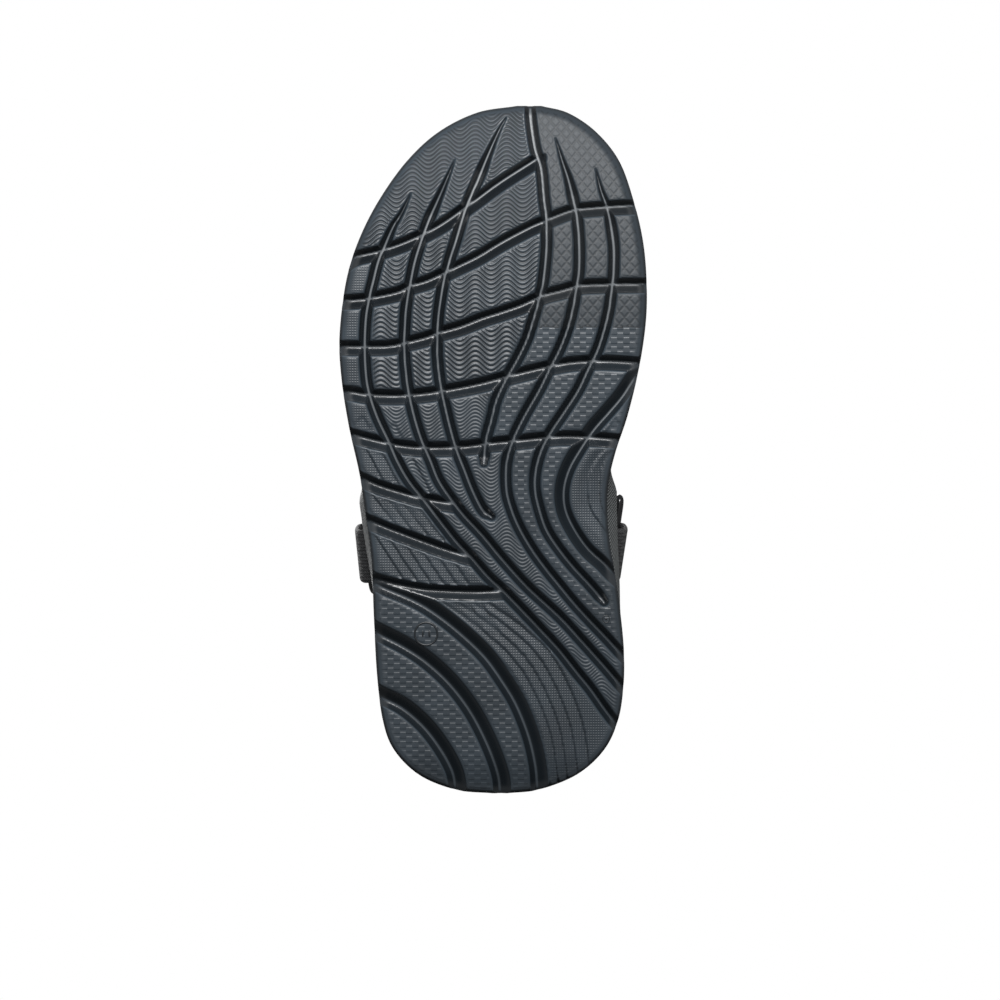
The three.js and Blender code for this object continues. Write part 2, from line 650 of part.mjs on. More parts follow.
function addPiece(name, geometry, color, roughness) {
  const material = new THREE.MeshStandardMaterial({ color, roughness, metalness: 0 });
  const mesh = new THREE.Mesh(geometry, material);
  mesh.name = name;
  group.add(mesh);
}

function addSole() {
  const anchors = [
    tabAnchor(lateralRing), tabAnchor(medialRing), toeAnchor("lateral"), toeAnchor("medial"),
  ];
  addPiece("outsole", outsole(), RUBBER, 0.75);
  addPiece("midsole", midsole(anchors.map(slotCutter)), GREY, 0.7);
  addPiece("footbed", footbed(anchors.map(notchCutter)), INK, 0.8);
}

function addToeStrap() {
  const route = toeRoute();
  const joint = route.length * 0.44;          // where the lateral half becomes the loose flap
  const ramp = 15;
  const lift = (distance) => flapOffset * smooth(distance, joint - ramp - 6, joint - 6);
  const medialStart = joint - 4;
  const flapEnd = joint + 52 * widthScale;
  addPiece("toe_strap_lateral", band(route, 0, joint, TOE_STRAP_WIDTH, lift, WEBBING), WEB_BLACK, 0.9);
  addPiece("toe_strap_medial", band(route, medialStart, route.length, TOE_STRAP_WIDTH, 0, WEBBING),
    WEB_BLACK, 0.9);
  addPiece("toe_loop_patch", band(route, joint + 3, flapEnd, TOE_STRAP_WIDTH - 2 * PATCH_MARGIN,
    loopPatchOffset, PATCH_THICKNESS), INK, 1);
  addPiece("toe_hook_patch", band(route, joint + 5, flapEnd - 3, TOE_STRAP_WIDTH - 2 * PATCH_MARGIN,
    hookPatchOffset, PATCH_THICKNESS), INK, 1);
  addPiece("toe_flap", flap(route, joint + GAP, flapEnd, TOE_STRAP_WIDTH, () => flapOffset),
    WEB_BLACK, 0.9);
  addPiece("toe_pad", pad(route, route.length * 0.25, route.length * 0.75, TOE_PAD_WIDTH,
    padTop, PAD_THICKNESS), GREY, 0.9);
}

// A strap from ring to ring: both ends turn round a bar, and one end goes on as a loose flap.
function addRingedStrap(name, bars, middle, wideSign, sizes) {
  const route = ringedRoute(bars[0], bars[1], middle, wideSign);
  const stations = route.line.points.length - 1;
  const atEnd = sizes.flapSide === "medial";
  const bar = route.distanceAt(atEnd ? stations - BAR_STATION : BAR_STATION);
  const fromBar = (distance) => (atEnd ? bar - distance : distance - bar);
  const span = (near, far) => (atEnd ? [bar - far, bar - near] : [bar + near, bar + far]);
  const { width, flapLength } = sizes;
  const fold = 10 + GAP;              // where the flap takes over from the strap's outer leg
  const lift = (distance) => (
    mix(turnOut * 1.75, flapOffset, smooth(fromBar(distance), fold, fold + 12)) + GAP
  );
  const layer = (from, to, bandWidth, offset, thickness) => (
    band(route, ...span(from, to), bandWidth, offset, thickness)
  );
  const patchWidth = width - 2 * PATCH_MARGIN;
  addPiece(`${name}_strap`, band(route, 0, route.length, width, 0, WEBBING), WEB_BLACK, 0.9);
  addPiece(`${name}_loop_patch`, layer(fold + 8, flapLength, patchWidth, loopPatchOffset,
    PATCH_THICKNESS), INK, 1);
  addPiece(`${name}_hook_patch`, layer(fold + 13, flapLength - 3, patchWidth, hookPatchOffset,
    PATCH_THICKNESS), INK, 1);
  const [hinge, tip] = atEnd ? [bar - fold, bar - flapLength] : [bar + fold, bar + flapLength];
  addPiece(`${name}_flap`, flap(route, hinge, tip, width, lift), WEB_BLACK, 0.9);
  const padFrom = route.distanceAt(BAR_STATION) + sizes.padFrom;
  const padTo = route.distanceAt(stations - BAR_STATION) - sizes.padFrom;
  addPiece(`${name}_pad`, pad(route, padFrom, padTo, sizes.padWidth, padTop, PAD_THICKNESS), GREY, 0.9);
}

function addRings() {
  for (const [side, frame] of [["lateral", lateralRing], ["medial", medialRing]]) {
    addPiece(`ring_${side}`, ring(frame), 0x101113, 0.25);
    addPiece(`ring_tab_${side}`, tab(frame), WEB_BLACK, 0.9);
  }
}

addSole();
addRings();
addToeStrap();
addRingedStrap("instep", frontBars, instepMiddle(...frontBars), 1, {
  width: INSTEP_STRAP_WIDTH,
  flapSide: "medial",
  flapLength: 62,
  padFrom: 19,
  padWidth: INSTEP_PAD_WIDTH,
});
addRingedStrap("heel", rearBars, heelMiddle(...rearBars), -1, {
  width: HEEL_STRAP_WIDTH,
  flapSide: "lateral",
  flapLength: 50,
  padFrom: 38,
  padWidth: HEEL_PAD_WIDTH,
});

export default group;
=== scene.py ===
import math

import bmesh
import bpy
import numpy as np
from bpy.props import FloatProperty, FloatVectorProperty, PointerProperty
from mathutils import Matrix, Vector


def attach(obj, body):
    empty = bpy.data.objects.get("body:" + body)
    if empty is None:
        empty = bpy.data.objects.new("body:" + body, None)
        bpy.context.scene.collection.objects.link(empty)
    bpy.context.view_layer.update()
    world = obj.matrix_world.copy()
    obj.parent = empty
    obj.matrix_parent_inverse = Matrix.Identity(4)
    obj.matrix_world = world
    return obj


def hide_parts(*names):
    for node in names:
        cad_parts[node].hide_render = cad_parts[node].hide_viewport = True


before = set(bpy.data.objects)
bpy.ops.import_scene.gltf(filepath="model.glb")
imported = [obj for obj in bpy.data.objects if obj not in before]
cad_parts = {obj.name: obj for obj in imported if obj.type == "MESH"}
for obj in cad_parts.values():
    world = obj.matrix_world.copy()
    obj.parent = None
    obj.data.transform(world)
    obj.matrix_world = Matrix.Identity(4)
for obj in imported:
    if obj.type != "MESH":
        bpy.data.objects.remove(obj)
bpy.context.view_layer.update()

bl_info = {
    "name": "Sport sandal looks",
    "version": (1, 0, 0),
    "blender": (4, 5, 0),
    "location": "3D Viewport > Sidebar > Sandal",
    "description": "Builds the visible pieces of a strappy sport sandal around its frame",
    "category": "Object",
}

MM = 0.001


# ---------------------------------------------------------------- settings
class SandalSole(bpy.types.PropertyGroup):
    """Sizes of the sole."""
    toe_spring: FloatProperty(name="Toe spring", description="How far the toe tip lifts",
                              default=0.013, unit="LENGTH")
    heel_bevel: FloatProperty(name="Heel bevel", description="How far the back edge lifts",
                              default=0.0025, unit="LENGTH")
    outsole: FloatProperty(name="Outsole", description="Thickness of the outsole",
                           default=0.0065, unit="LENGTH")
    groove: FloatProperty(name="Groove depth", description="Depth of the lengthwise grooves",
                          default=0.0032, unit="LENGTH")


class SandalColours(bpy.types.PropertyGroup):
    """Colours of the materials."""
    rubber: FloatVectorProperty(name="Outsole", description="Colour of the outsole rubber",
                                default=(0.021, 0.029, 0.037), size=3, subtype="COLOR")
    foam: FloatVectorProperty(name="Midsole", description="Colour of the midsole foam",
                              default=(0.105, 0.113, 0.115), size=3, subtype="COLOR")
    footbed: FloatVectorProperty(name="Footbed", description="Colour of the footbed",
                                 default=(0.03, 0.033, 0.036), size=3, subtype="COLOR")
    webbing: FloatVectorProperty(name="Webbing", description="Colour of the webbing",
                                 default=(0.018, 0.019, 0.021), size=3, subtype="COLOR")
    lining: FloatVectorProperty(name="Lining", description="Colour of the padded linings",
                                default=(0.09, 0.095, 0.1), size=3, subtype="COLOR")


# ---------------------------------------------------------------- plane curves
def mix(a, b, t):
    return a + (b - a) * t


def smooth(value, low, high):
    """0 below low, 1 above high, and an even climb between."""
    t = min(1.0, max(0.0, (value - low) / (high - low)))
    return t * t * (3 - 2 * t)


class Curve:
    """A Catmull-Rom curve through points, in millimetres, read by its share of length."""

    def __init__(self, points, power=0.0):
        self.points = [Vector(p) if len(p) == 3 else Vector((p[0], p[1], 0)) for p in points]
        self.power = power
        self.table = []
        steps = 24 * (len(self.points) - 1)
        total = 0.0
        last = self.at(0.0)
        for i in range(steps + 1):
            here = self.at(i / steps)
            total += (here - last).length
            self.table.append(total)
            last = here
        self.length = total

    def at(self, t):
        """The point at a parameter from 0 to 1, which counts the spans evenly."""
        last = len(self.points) - 1
        spot = min(max(t, 0.0), 1.0) * last
        i = min(int(spot), last - 1)
        p1, p2 = self.points[i], self.points[i + 1]
        p0 = self.points[i - 1] if i > 0 else p1 * 2 - p2
        p3 = self.points[i + 2] if i + 2 <= last else p2 * 2 - p1
        u = spot - i
        if self.power:
            return self.chordal(p0, p1, p2, p3, u)
        return 0.5 * (2 * p1 + (p2 - p0) * u + (2 * p0 - 5 * p1 + 4 * p2 - p3) * u * u
                      + (3 * p1 - p0 - 3 * p2 + p3) * u ** 3)

    def chordal(self, p0, p1, p2, p3, u):
        """The same with knots spaced by a power of the chords, which keeps tight turns clean."""
        d0 = max((p1 - p0).length, 1e-4) ** self.power
        d1 = max((p2 - p1).length, 1e-4) ** self.power
        d2 = max((p3 - p2).length, 1e-4) ** self.power
        m1 = ((p1 - p0) / d0 - (p2 - p0) / (d0 + d1) + (p2 - p1) / d1) * d1
        m2 = ((p2 - p1) / d1 - (p3 - p1) / (d1 + d2) + (p3 - p2) / d2) * d1
        return (p1 * (2 * u ** 3 - 3 * u * u + 1) + m1 * (u ** 3 - 2 * u * u + u)
                + p2 * (-2 * u ** 3 + 3 * u * u) + m2 * (u ** 3 - u * u))

    def share(self, distance):
        """The curve's parameter at a distance along it."""
        distance = min(max(distance, 0.0), self.length)
        low, high = 0, len(self.table) - 1
        while high - low > 1:
            middle = (low + high) // 2
            if self.table[middle] < distance:
                low = middle
            else:
                high = middle
        gap = self.table[high] - self.table[low]
        part = (distance - self.table[low]) / gap if gap > 1e-9 else 0.0
        return (low + part) / (len(self.table) - 1)

    def along(self, share):
        """Point and direction at a share of the curve's length."""
        t = self.share(share * self.length)
        step = 1e-4
        before, after = self.at(max(0, t - step)), self.at(min(1, t + step))
        return self.at(t), (after - before).normalized()


LATERAL = Curve([
    (9, -128), (-6, -125.4), (-20.4, -118), (-32.2, -106.9), (-42.6, -92), (-50, -77), (-54.5, -62),
    (-56.9, -42), (-56.2, -26), (-53.4, -8), (-49.6, 9), (-47, 26), (-45, 42), (-44.2, 62), (-43, 84),
    (-40.8, 101), (-36.5, 112), (-27, 121.3), (-13.5, 126.7), (0, 128)])
MEDIAL = Curve([
    (18, -128), (28.2, -125.2), (38.5, -118), (47, -107), (52.3, -92), (55.7, -77), (57, -62),
    (56.7, -47), (54.2, -30), (50, -12.5), (45.4, 1.5), (42.8, 13), (42.4, 23), (43.2, 34), (45, 45),
    (46.9, 58), (48.5, 74), (48.4, 88), (46.3, 101), (41, 112), (31, 121), (17, 126.6), (5, 128)])

TOE_START, TOE_REACH = -40.0, 88.0
HEEL_START, HEEL_REACH = 112.0, 16.0


def settings():
    """The sole's sizes as set in the add-on."""
    return bpy.context.scene.sandal_sole


def rocker(y):
    """How far the sole's underside stands off the ground at y."""
    toe = max(0.0, (TOE_START - y) / TOE_REACH)
    heel = max(0.0, (y - HEEL_START) / HEEL_REACH)
    return settings().toe_spring / MM * toe ** 2 + settings().heel_bevel / MM * heel ** 2


# ---------------------------------------------------------------- mesh tools
def box_mesh(nx, ny, nz, place):
    """A closed box of nx by ny by nz cells whose corners go to place(a, b, c), each 0 to 1."""
    bm = bmesh.new()
    bmesh.ops.create_grid(bm, x_segments=nx, y_segments=ny, size=0.5)
    for layer in range(nz):
        top = [f for f in bm.faces if all(v.co.z > layer - 0.5 for v in f.verts)]
        made = bmesh.ops.extrude_face_region(bm, geom=top, use_keep_orig=layer == 0)
        moved = [g for g in made["geom"] if isinstance(g, bmesh.types.BMVert)]
        bmesh.ops.translate(bm, verts=moved, vec=(0, 0, 1))
        if layer:
            bmesh.ops.delete(bm, geom=[f for f in top if f.is_valid], context="FACES_ONLY")
    for v in bm.verts:
        v.co = place(v.co.x + 0.5, v.co.y + 0.5, v.co.z / nz)
    bmesh.ops.recalc_face_normals(bm, faces=bm.faces)
    return bm


def side_of(point, direction, distance):
    """The point moved sideways by distance, to the right of its direction seen from above."""
    return Vector((point.x - direction.y * distance, point.y + direction.x * distance, point.z))


def finish_mesh(bm, name, sharp=35.0, scale=MM):
    """A new object from the mesh, smooth but for its sharp edges."""
    for f in bm.faces:
        f.smooth = True
    limit = math.radians(sharp)
    for e in bm.edges:
        if len(e.link_faces) == 2 and e.calc_face_angle(0) > limit:
            e.smooth = False
    bmesh.ops.scale(bm, vec=(scale,) * 3, verts=bm.verts)
    mesh = bpy.data.meshes.new(name)
    bm.to_mesh(mesh)
    bm.free()
    obj = bpy.data.objects.new(name, mesh)
    bpy.context.scene.collection.objects.link(obj)
    return obj


# ---------------------------------------------------------------- tread
# Centre lines of the tread's grooves, in millimetres. A lengthwise one has its widths at both ends too, as
# shares of the full width.
LONG_GROOVES = {
    "a": ([(13.9, -133), (13.9, -128), (14.2, -121.7), (15.7, -111.7), (17.9, -104.3), (19, -92.5),
           (19.8, -85.8), (19.8, -73.5), (18.7, -62.4), (17, -55), (14.9, -47.6), (12.5, -40.2),
           (8.9, -32.8), (4.7, -25.4), (1.3, -18), (-0.6, -10.6), (-2.6, -3.1), (-3.4, 5.6)], 1, 0.7),
    "b": ([(4.8, -123.2), (2, -118), (-1.6, -109.9), (-5.4, -100.5), (-8.9, -92.4), (-11.2, -85.9),
           (-13.8, -77.2), (-16.2, -69.5), (-18.2, -62.4), (-19.5, -55), (-20.4, -47.6), (-20.7, -36.5),
           (-20.2, -29.1), (-19.1, -21.7), (-17.5, -14.3), (-15.7, -6.9), (-13.5, 0.6), (-10.6, 8),
           (-7.7, 15.4), (-3.9, 22.8), (-0.5, 25.4)], 0.15, 0.7),
    "c": ([(-14.2, -107.3), (-17.8, -98.7), (-21, -91.3), (-23.9, -84.7), (-26.4, -78), (-28.9, -69.9),
           (-30.5, -62.4), (-31.8, -55), (-32.6, -47.6), (-32.9, -36.5), (-32, -25.4), (-30.7, -18),
           (-28.9, -10.6), (-26.5, -3.1), (-23.3, 4.3), (-20.3, 11.7), (-15.9, 18.4), (-10.9, 24.8),
           (-4.1, 32.1), (2, 39.5), (8.1, 46.5), (13.7, 52.4), (24.8, 62.7), (32.6, 71.2), (41, 80.6),
           (47.6, 88.4), (54, 96)], 0.15, 1),
    "d": ([(-30.5, -94.7), (-34.1, -87.2), (-37.1, -82.4), (-40.1, -75.4), (-42.5, -69.9), (-44.4, -62.4),
           (-46.1, -55), (-47.2, -47.6), (-47.6, -36.5), (-46.9, -25.4), (-45.2, -18), (-42.5, -10.6),
           (-38.9, -3.1), (-35.7, 4.3), (-31.5, 11.7), (-25.7, 19.1), (-19.6, 27.1), (-13.5, 34.8),
           (-8, 40.6), (-1.9, 47.6), (3.7, 52.8), (10.4, 59.7), (17.4, 67.1), (24.5, 74.8), (31.2, 83.3),
           (36.1, 89.3), (41.7, 97.2), (50, 108)], 0.15, 1),
    "e": ([(23.3, -115.4), (25.7, -107.3), (28, -100.2), (29.9, -92.4), (31.2, -85.9), (32, -76.2),
           (31.9, -66.1), (31, -59.8), (29.5, -51.3), (27.5, -43.9), (24.6, -36.5), (20.8, -29.1),
           (17.2, -21.7), (11.4, -11.5), (7.3, -2.8), (5, 5.7), (5, 15.4), (6.9, 22.8), (9.8, 29.6),
           (14.2, 37.2), (19, 43.9), (24.2, 50.4), (29.7, 57.1), (35.5, 63.5), (41.9, 70.2),
           (47.3, 76.1), (52, 81)], 0.15, 1),
    "f": ([(38.2, -103.9), (40.1, -96.1), (42.2, -90.2), (43.8, -82.8), (44.8, -75), (44.8, -66.1),
           (44, -58.7), (43, -51.3), (41.2, -43.9), (38.8, -36.5), (35.2, -29.1), (31.7, -21.7),
           (26.7, -13.9), (22, -6.9), (18.2, 0), (15.9, 8), (15.6, 15.4), (17.2, 22.8), (19.8, 30.2),
           (24.3, 37.2), (30, 44.3), (36.1, 50.9), (41.2, 56.9)], 0.15, 0.8),
}
CROSS_GROOVES = {
    "g": [(60, -35), (53.6, -27.6), (48.1, -19.4), (43, -13.3), (37.5, -7), (32.3, 0.6), (28.2, 8),
          (26.3, 15.4), (26.9, 22.8), (30.3, 30.2), (35.2, 37.1), (40.9, 42.3), (44.5, 46.1), (52, 53)],
    "h1": [(-58, -66), (-51.5, -70.8), (-42.6, -73.1), (-31.9, -76.8), (-20, -82.7), (-8.1, -91.1),
           (2.6, -99), (16.5, -108)],
    "h1r": [(19.8, -84.8), (24, -86.6), (29.5, -88.5), (35.9, -89.3), (48.8, -90.2), (60, -90.1)],
    "h2": [(-60, -54.6), (-48.9, -55.2), (-41.5, -56.5), (-34.7, -58.1), (-30.5, -60.3), (-24.5, -62.1),
           (-18.8, -64.7), (-12.9, -67.6), (-5.4, -71.3), (2.1, -75.9), (8.6, -79.5), (14.9, -82.7),
           (18.8, -84.3)],
    "h3": [(-62, -37.9), (-45.6, -37.7), (-37.9, -38), (-31.5, -39.4), (-24.8, -41.1), (-19.6, -43),
           (-11.9, -45.2), (-3.9, -48.3), (2.7, -50.4), (10.5, -53.1), (18.8, -56.8), (25.2, -58.5),
           (32.3, -60.4), (39.8, -60.8), (50.4, -61), (62, -60.9)],
    "h4": [(-62, -21.5), (-52.3, -20.9), (-46.3, -19.9), (-34.7, -19.6), (-24.7, -20.4), (-13.5, -22.2),
           (-3.9, -24.2), (6.6, -27), (14.3, -28.9), (21.8, -30.6), (29.5, -31.9), (40.7, -32.4),
           (55, -31.6), (62, -31)],
    "h5": [(-60, -7.5), (-51.8, -5.1), (-42.5, -2.7), (-34.7, -1.1), (-26, -0.3), (-11.6, -0.6),
           (-1.1, -1.9), (8.2, -2.8), (20.8, -4.1), (27.9, -4.4), (39.1, -3.9), (54, -2.5)],
    "h6": [(-55, 8), (-48.9, 10.9), (-41.9, 13.9), (-32.2, 16.9), (-25.7, 18.6), (-13.8, 20.6)],
    "h7": [(-54, 23.3), (-46, 26.7), (-37.6, 30.1), (-28, 33.7), (-18.3, 37.2), (-8, 40.3)],
    "h8": [(-52, 46.9), (-44.5, 48.2), (-36.5, 50.2), (-27, 52), (-20.7, 52.6), (-7, 53.1), (3.7, 52.7)],
}
HEEL_ARCS = {
    "arc1": [(-50, 47.5), (-40.2, 52), (-30.5, 56.1), (-23.2, 60.2), (-13.7, 67.4), (-3.6, 76.9),
             (3.7, 86.9), (8.8, 95.6), (13.2, 106.8), (15.7, 117.6), (16.4, 126.3), (16.8, 134)],
    "arc2": [(-50, 65), (-43.4, 68.6), (-33.9, 73.4), (-25.3, 79), (-16.3, 87.3), (-8.5, 97.6),
             (-2.2, 109.7), (1.7, 120.5), (2.6, 127.6), (3, 134)],
    "arc3": [(-48, 89), (-41.7, 92.4), (-33.9, 96.3), (-26.1, 103), (-19.7, 111.3), (-15.3, 119.5),
             (-13.9, 126.5), (-13.4, 134)],
}


def fan_lines():
    """The heel fan's lines: they start side by side at the waist and spread towards the back."""
    starts = [(x, 56) for x in (-31, -25.4, -19.8, -14.2, -8.6, -3)]
    ends = [(x, 129) for x in (19, 22, 25, 28.5, 32.5, 37)]
    lines = []
    for i, (start, end) in enumerate(zip(starts, ends)):
        knee = (mix(start[0], end[0], 0.6) + 4.5 - i * 0.5, 84 - i * 1.2)
        lines.append([start, (mix(start[0], knee[0], 0.5) + 1.2, 68.5 - i * 0.5), knee,
                      (mix(knee[0], end[0], 0.72), 106 - i), end])
    return lines


def slanted_lines(first, step, reach, count):
    """Straight lines side by side, each a step from the one before and reach long."""
    starts = [(first[0] + step[0] * i, first[1] + step[1] * i) for i in range(count)]
    return [[(x, y), (x + reach[0], y + reach[1])] for x, y in starts]


# Saw-tooth stripes in the lugs: (lines from left to right seen towards the heel, depth).
STRIPES = [
    (fan_lines(), 0.75),
    (slanted_lines((-54, -4), (5.8, 1.3), (11, 21), 5), 0.6),
    (slanted_lines((-53, 12), (5.9, 1.9), (13.5, 17), 6), 0.6),
    (slanted_lines((-51, 28), (6.0, 2.1), (14.5, 22), 7), 0.6),
    ([[(38.5, -1), (33, 7.8), (31.2, 15.4), (32, 23.4), (38, 31.5), (43, 36)],
      [(42.5, -1), (36.8, 7), (35.4, 15.4), (36.4, 22.4), (42.2, 31)],
      [(46.5, -1), (41, 6), (39.6, 14), (40.6, 22), (45, 30)]], 0.6),
]


# Widths of the grooves' left and right walls and of their floors, and how much shallower some are.
LONG_WALLS, LONG_FLOOR = (1.6, 1.6), 1.3
CROSS_WALLS, CROSS_FLOOR, CROSS_SHALLOWER = (3.3, 1.9), 0.6, 0.3
ARC_WALLS, ARC_FLOOR, ARC_SHALLOWER = (2.0, 3.8), 1.1, 0.1

# Kinds of fine texture on the lugs. 0 is left to the plain side wall.
WAVES, DIAMONDS, DASHES, DOTS, CONTOURS = range(1, 6)
FAR = 99.0
# How far a groove takes to swell from its start, and to narrow at its end.
SWELLING, NARROWING = 22, 3


def dense(points, step=1.2):
    """Evenly spaced points on the curve through points, as an array of x, y."""
    line = Curve(points)
    count = max(2, math.ceil(line.length / step))
    return np.array([line.along(i / count)[0][:2] for i in range(count + 1)])


def nearest(spots, line, reach):
    """For each spot: distance to the line, side (1 left, -1 right) and distance along the line."""
    distance = np.full(len(spots), FAR)
    side = np.ones(len(spots))
    run = np.zeros(len(spots))
    low, high = line.min(axis=0) - reach, line.max(axis=0) + reach
    near = np.flatnonzero(np.all((spots > low) & (spots < high), axis=1))
    close = spots[near]
    total = 0.0
    for start, end in zip(line[:-1], line[1:]):
        step = end - start
        length = np.hypot(*step)
        away = close - start
        part = np.clip(away @ step / length ** 2, 0, 1)
        gap = np.hypot(away[:, 0] - part * step[0], away[:, 1] - part * step[1])
        won = gap < distance[near]
        chosen = near[won]
        distance[chosen] = gap[won]
        side[chosen] = np.sign(step[0] * away[won, 1] - step[1] * away[won, 0] + 1e-9)
        run[chosen] = total + part[won] * length
        total += length
    return distance, side, run, total


def signed_distance(spots, line):
    """Distance to a line, positive on the side of larger x; its ends reach on straight."""
    distance, side, _, _ = nearest(spots, line, 14)
    return np.where(distance < FAR, -distance * side, -FAR)


def soft_step(t):
    """The same climb for an array, from 0 at 0 to 1 at 1."""
    t = np.clip(t, 0, 1)
    return t * t * (3 - 2 * t)


class Tread:
    """The tread's relief at an array of spots: depth, and how far each spot is from a groove."""

    def __init__(self, spots):
        self.spots = spots
        self.depth = np.zeros(len(spots))
        self.clear = np.full(len(spots), FAR)
        self.floor = np.full(len(spots), 9.0)
        self.stripe = np.ones(len(spots))

    def groove(self, points, walls, floor, depth, start=1.0, end=1.0):
        """Cuts a groove. start and end are its widths there, as shares of the full width."""
        distance, side, run, total = nearest(self.spots, dense(points), 12)
        size = np.minimum(1, start + (1 - start) * run / SWELLING)
        size *= end + (1 - end) * soft_step((total - run) / NARROWING)
        wall = np.where(side > 0, walls[0], walls[1]) * size
        edge = floor / 2 * size + wall
        rise = np.clip((edge - distance) / np.maximum(wall, 0.05), 0, 1)
        shape = 0.8 * rise + 0.2 * soft_step(rise)
        self.depth = np.maximum(self.depth, depth * size * shape)
        self.clear = np.minimum(self.clear, distance - edge)
        self.floor = np.minimum(self.floor, distance - 0.34 * size)

    def stripes(self, lines, depth):
        """Cuts saw-tooth stripes between neighbouring lines and notes how far each spot is into its tooth."""
        sides = [signed_distance(self.spots, dense(line)) for line in lines]
        phase = np.full(len(self.spots), -1.0)
        for k, (here, after) in enumerate(zip(sides[:-1], sides[1:])):
            between = (here >= 0) & (after < 0) & (here < 12) & (after > -12)
            phase[between] = k + here[between] / (here[between] - after[between])
        striped = phase >= 0
        tooth = np.where(striped, np.mod(phase, 1), 0)
        fade = soft_step(self.clear / 0.8)
        self.depth = np.maximum(self.depth, depth * fade * tooth)
        self.stripe = np.where(striped, 1 - tooth, self.stripe)


def tread_at(spots):
    """The whole tread's relief at an array of spots."""
    depth = settings().groove / MM
    tread = Tread(spots)
    for points, start, end in LONG_GROOVES.values():
        tread.groove(points, LONG_WALLS, LONG_FLOOR, depth, start, end)
    for points in CROSS_GROOVES.values():
        tread.groove(points, CROSS_WALLS, CROSS_FLOOR, depth - CROSS_SHALLOWER)
    for points in HEEL_ARCS.values():
        tread.groove(points, ARC_WALLS, ARC_FLOOR, depth - ARC_SHALLOWER)
    for lines, pressed in STRIPES:
        tread.stripes(lines, pressed)
    return tread


def line_x(points, y):
    """x of a toe-to-heel groove at each y."""
    line = np.array(points)
    order = np.argsort(line[:, 1])
    return np.interp(y, line[order, 1], line[order, 0])


def lug_zones(x, y):
    """Which fine texture a lug carries at each x, y. The toes are at negative y."""
    right_of_a = x > line_x(LONG_GROOVES["a"][0], y)
    left_of_d = x < line_x(LONG_GROOVES["d"][0], y)
    right_of_arc = x > line_x(HEEL_ARCS["arc1"], y)
    right_of_g = x > line_x(CROSS_GROOVES["g"], y)
    right_of_e = x > line_x(LONG_GROOVES["e"][0], y)
    zone = np.full(len(x), float(CONTOURS))
    forefoot = y < -2
    zone[forefoot & (y < -20)] = WAVES
    zone[forefoot & right_of_a] = DIAMONDS
    zone[forefoot & right_of_a & (y > -45)] = DASHES
    zone[left_of_d & (y > -72)] = DOTS
    zone[~forefoot & right_of_e & (y < 70)] = DASHES
    zone[~forefoot & left_of_d] = DOTS
    zone[(y > 51) & left_of_d & ~right_of_arc] = DASHES
    zone[~forefoot & right_of_g & (y < 45)] = DOTS
    return zone


def outline_distance(spots):
    """How far each spot is inside the sole's outline."""
    steps = 160
    left, right = (np.array([edge.along(i / steps)[0][:2] for i in range(steps + 1)])
                   for edge in (LATERAL, MEDIAL))
    loop = np.vstack([left, right[::-1], left[:1]])
    keep = np.append(True, np.hypot(*np.diff(loop, axis=0).T) > 1e-6)
    return nearest(spots, loop[keep], 200)[0]


def build_outsole():
    """The outsole: a fine relief of the tread underneath, a side wall and a flat top."""
    rows, columns = 450, 192
    bm = bmesh.new()
    bmesh.ops.create_grid(bm, x_segments=columns, y_segments=rows, size=0.5)
    edges = [(LATERAL.along(i / rows)[0], MEDIAL.along(i / rows)[0]) for i in range(rows + 1)]
    for v in bm.verts:
        t = v.co.x + 0.5
        t = mix(t, 0.5 - 0.5 * math.cos(math.pi * t), 0.3)
        left, right = edges[round((v.co.y + 0.5) * rows)]
        v.co = left.lerp(right, t)
    spots = np.array([v.co[:2] for v in bm.verts])
    inside = outline_distance(spots)
    tread = tread_at(spots)
    rim, margin = 1.7, 1.5
    round_off = np.where(inside < rim, rim - np.sqrt(np.maximum(rim ** 2 - (rim - inside) ** 2, 0)), 0)
    height = np.maximum(tread.depth, 0.8 * round_off) + 0.2 * round_off
    amount = soft_step((tread.clear - 0.3) / 0.9) * soft_step((inside - margin) / 0.8)
    close_slab(bm, settings().outsole / MM)
    stored = {"zone": lug_zones(*spots.T), "amount": amount, "clear": np.clip(tread.clear, -3, 3),
              "floor": np.clip(tread.floor, -1, 3), "stripe": tread.stripe, "inside": np.clip(inside, 0, 8)}
    layers = {name: bm.verts.layers.float.new(name) for name in stored}
    bm.verts.ensure_lookup_table()
    for i, z in enumerate(height):
        v = bm.verts[i]
        v.co.z = z
        for name, layer in layers.items():
            v[layer] = stored[name][i]
    for v in bm.verts[len(height):]:
        v[layers["clear"]] = v[layers["floor"]] = 3
        v[layers["stripe"]] = 1
    for v in bm.verts:
        v.co.z += rocker(v.co.y)
    bmesh.ops.recalc_face_normals(bm, faces=bm.faces)
    dress(finish_mesh(bm, "outsole_tread", sharp=75), "sandal", "outsole_rubber", "outsole_rubber", "outsole")
    moulded_mark("outsole_size_ring", (-24.8, 68.7),
                 [(4.2, 0, 0.45, 0), (0, 3.2, 0.45, -1.2), (0, 3.2, 0.45, 1.2)])
    moulded_mark("outsole_mould_nub", (41.9, 63.2), [(0, 1.2, 0.5, 0), (1.3, 0, 0.2, 0)])


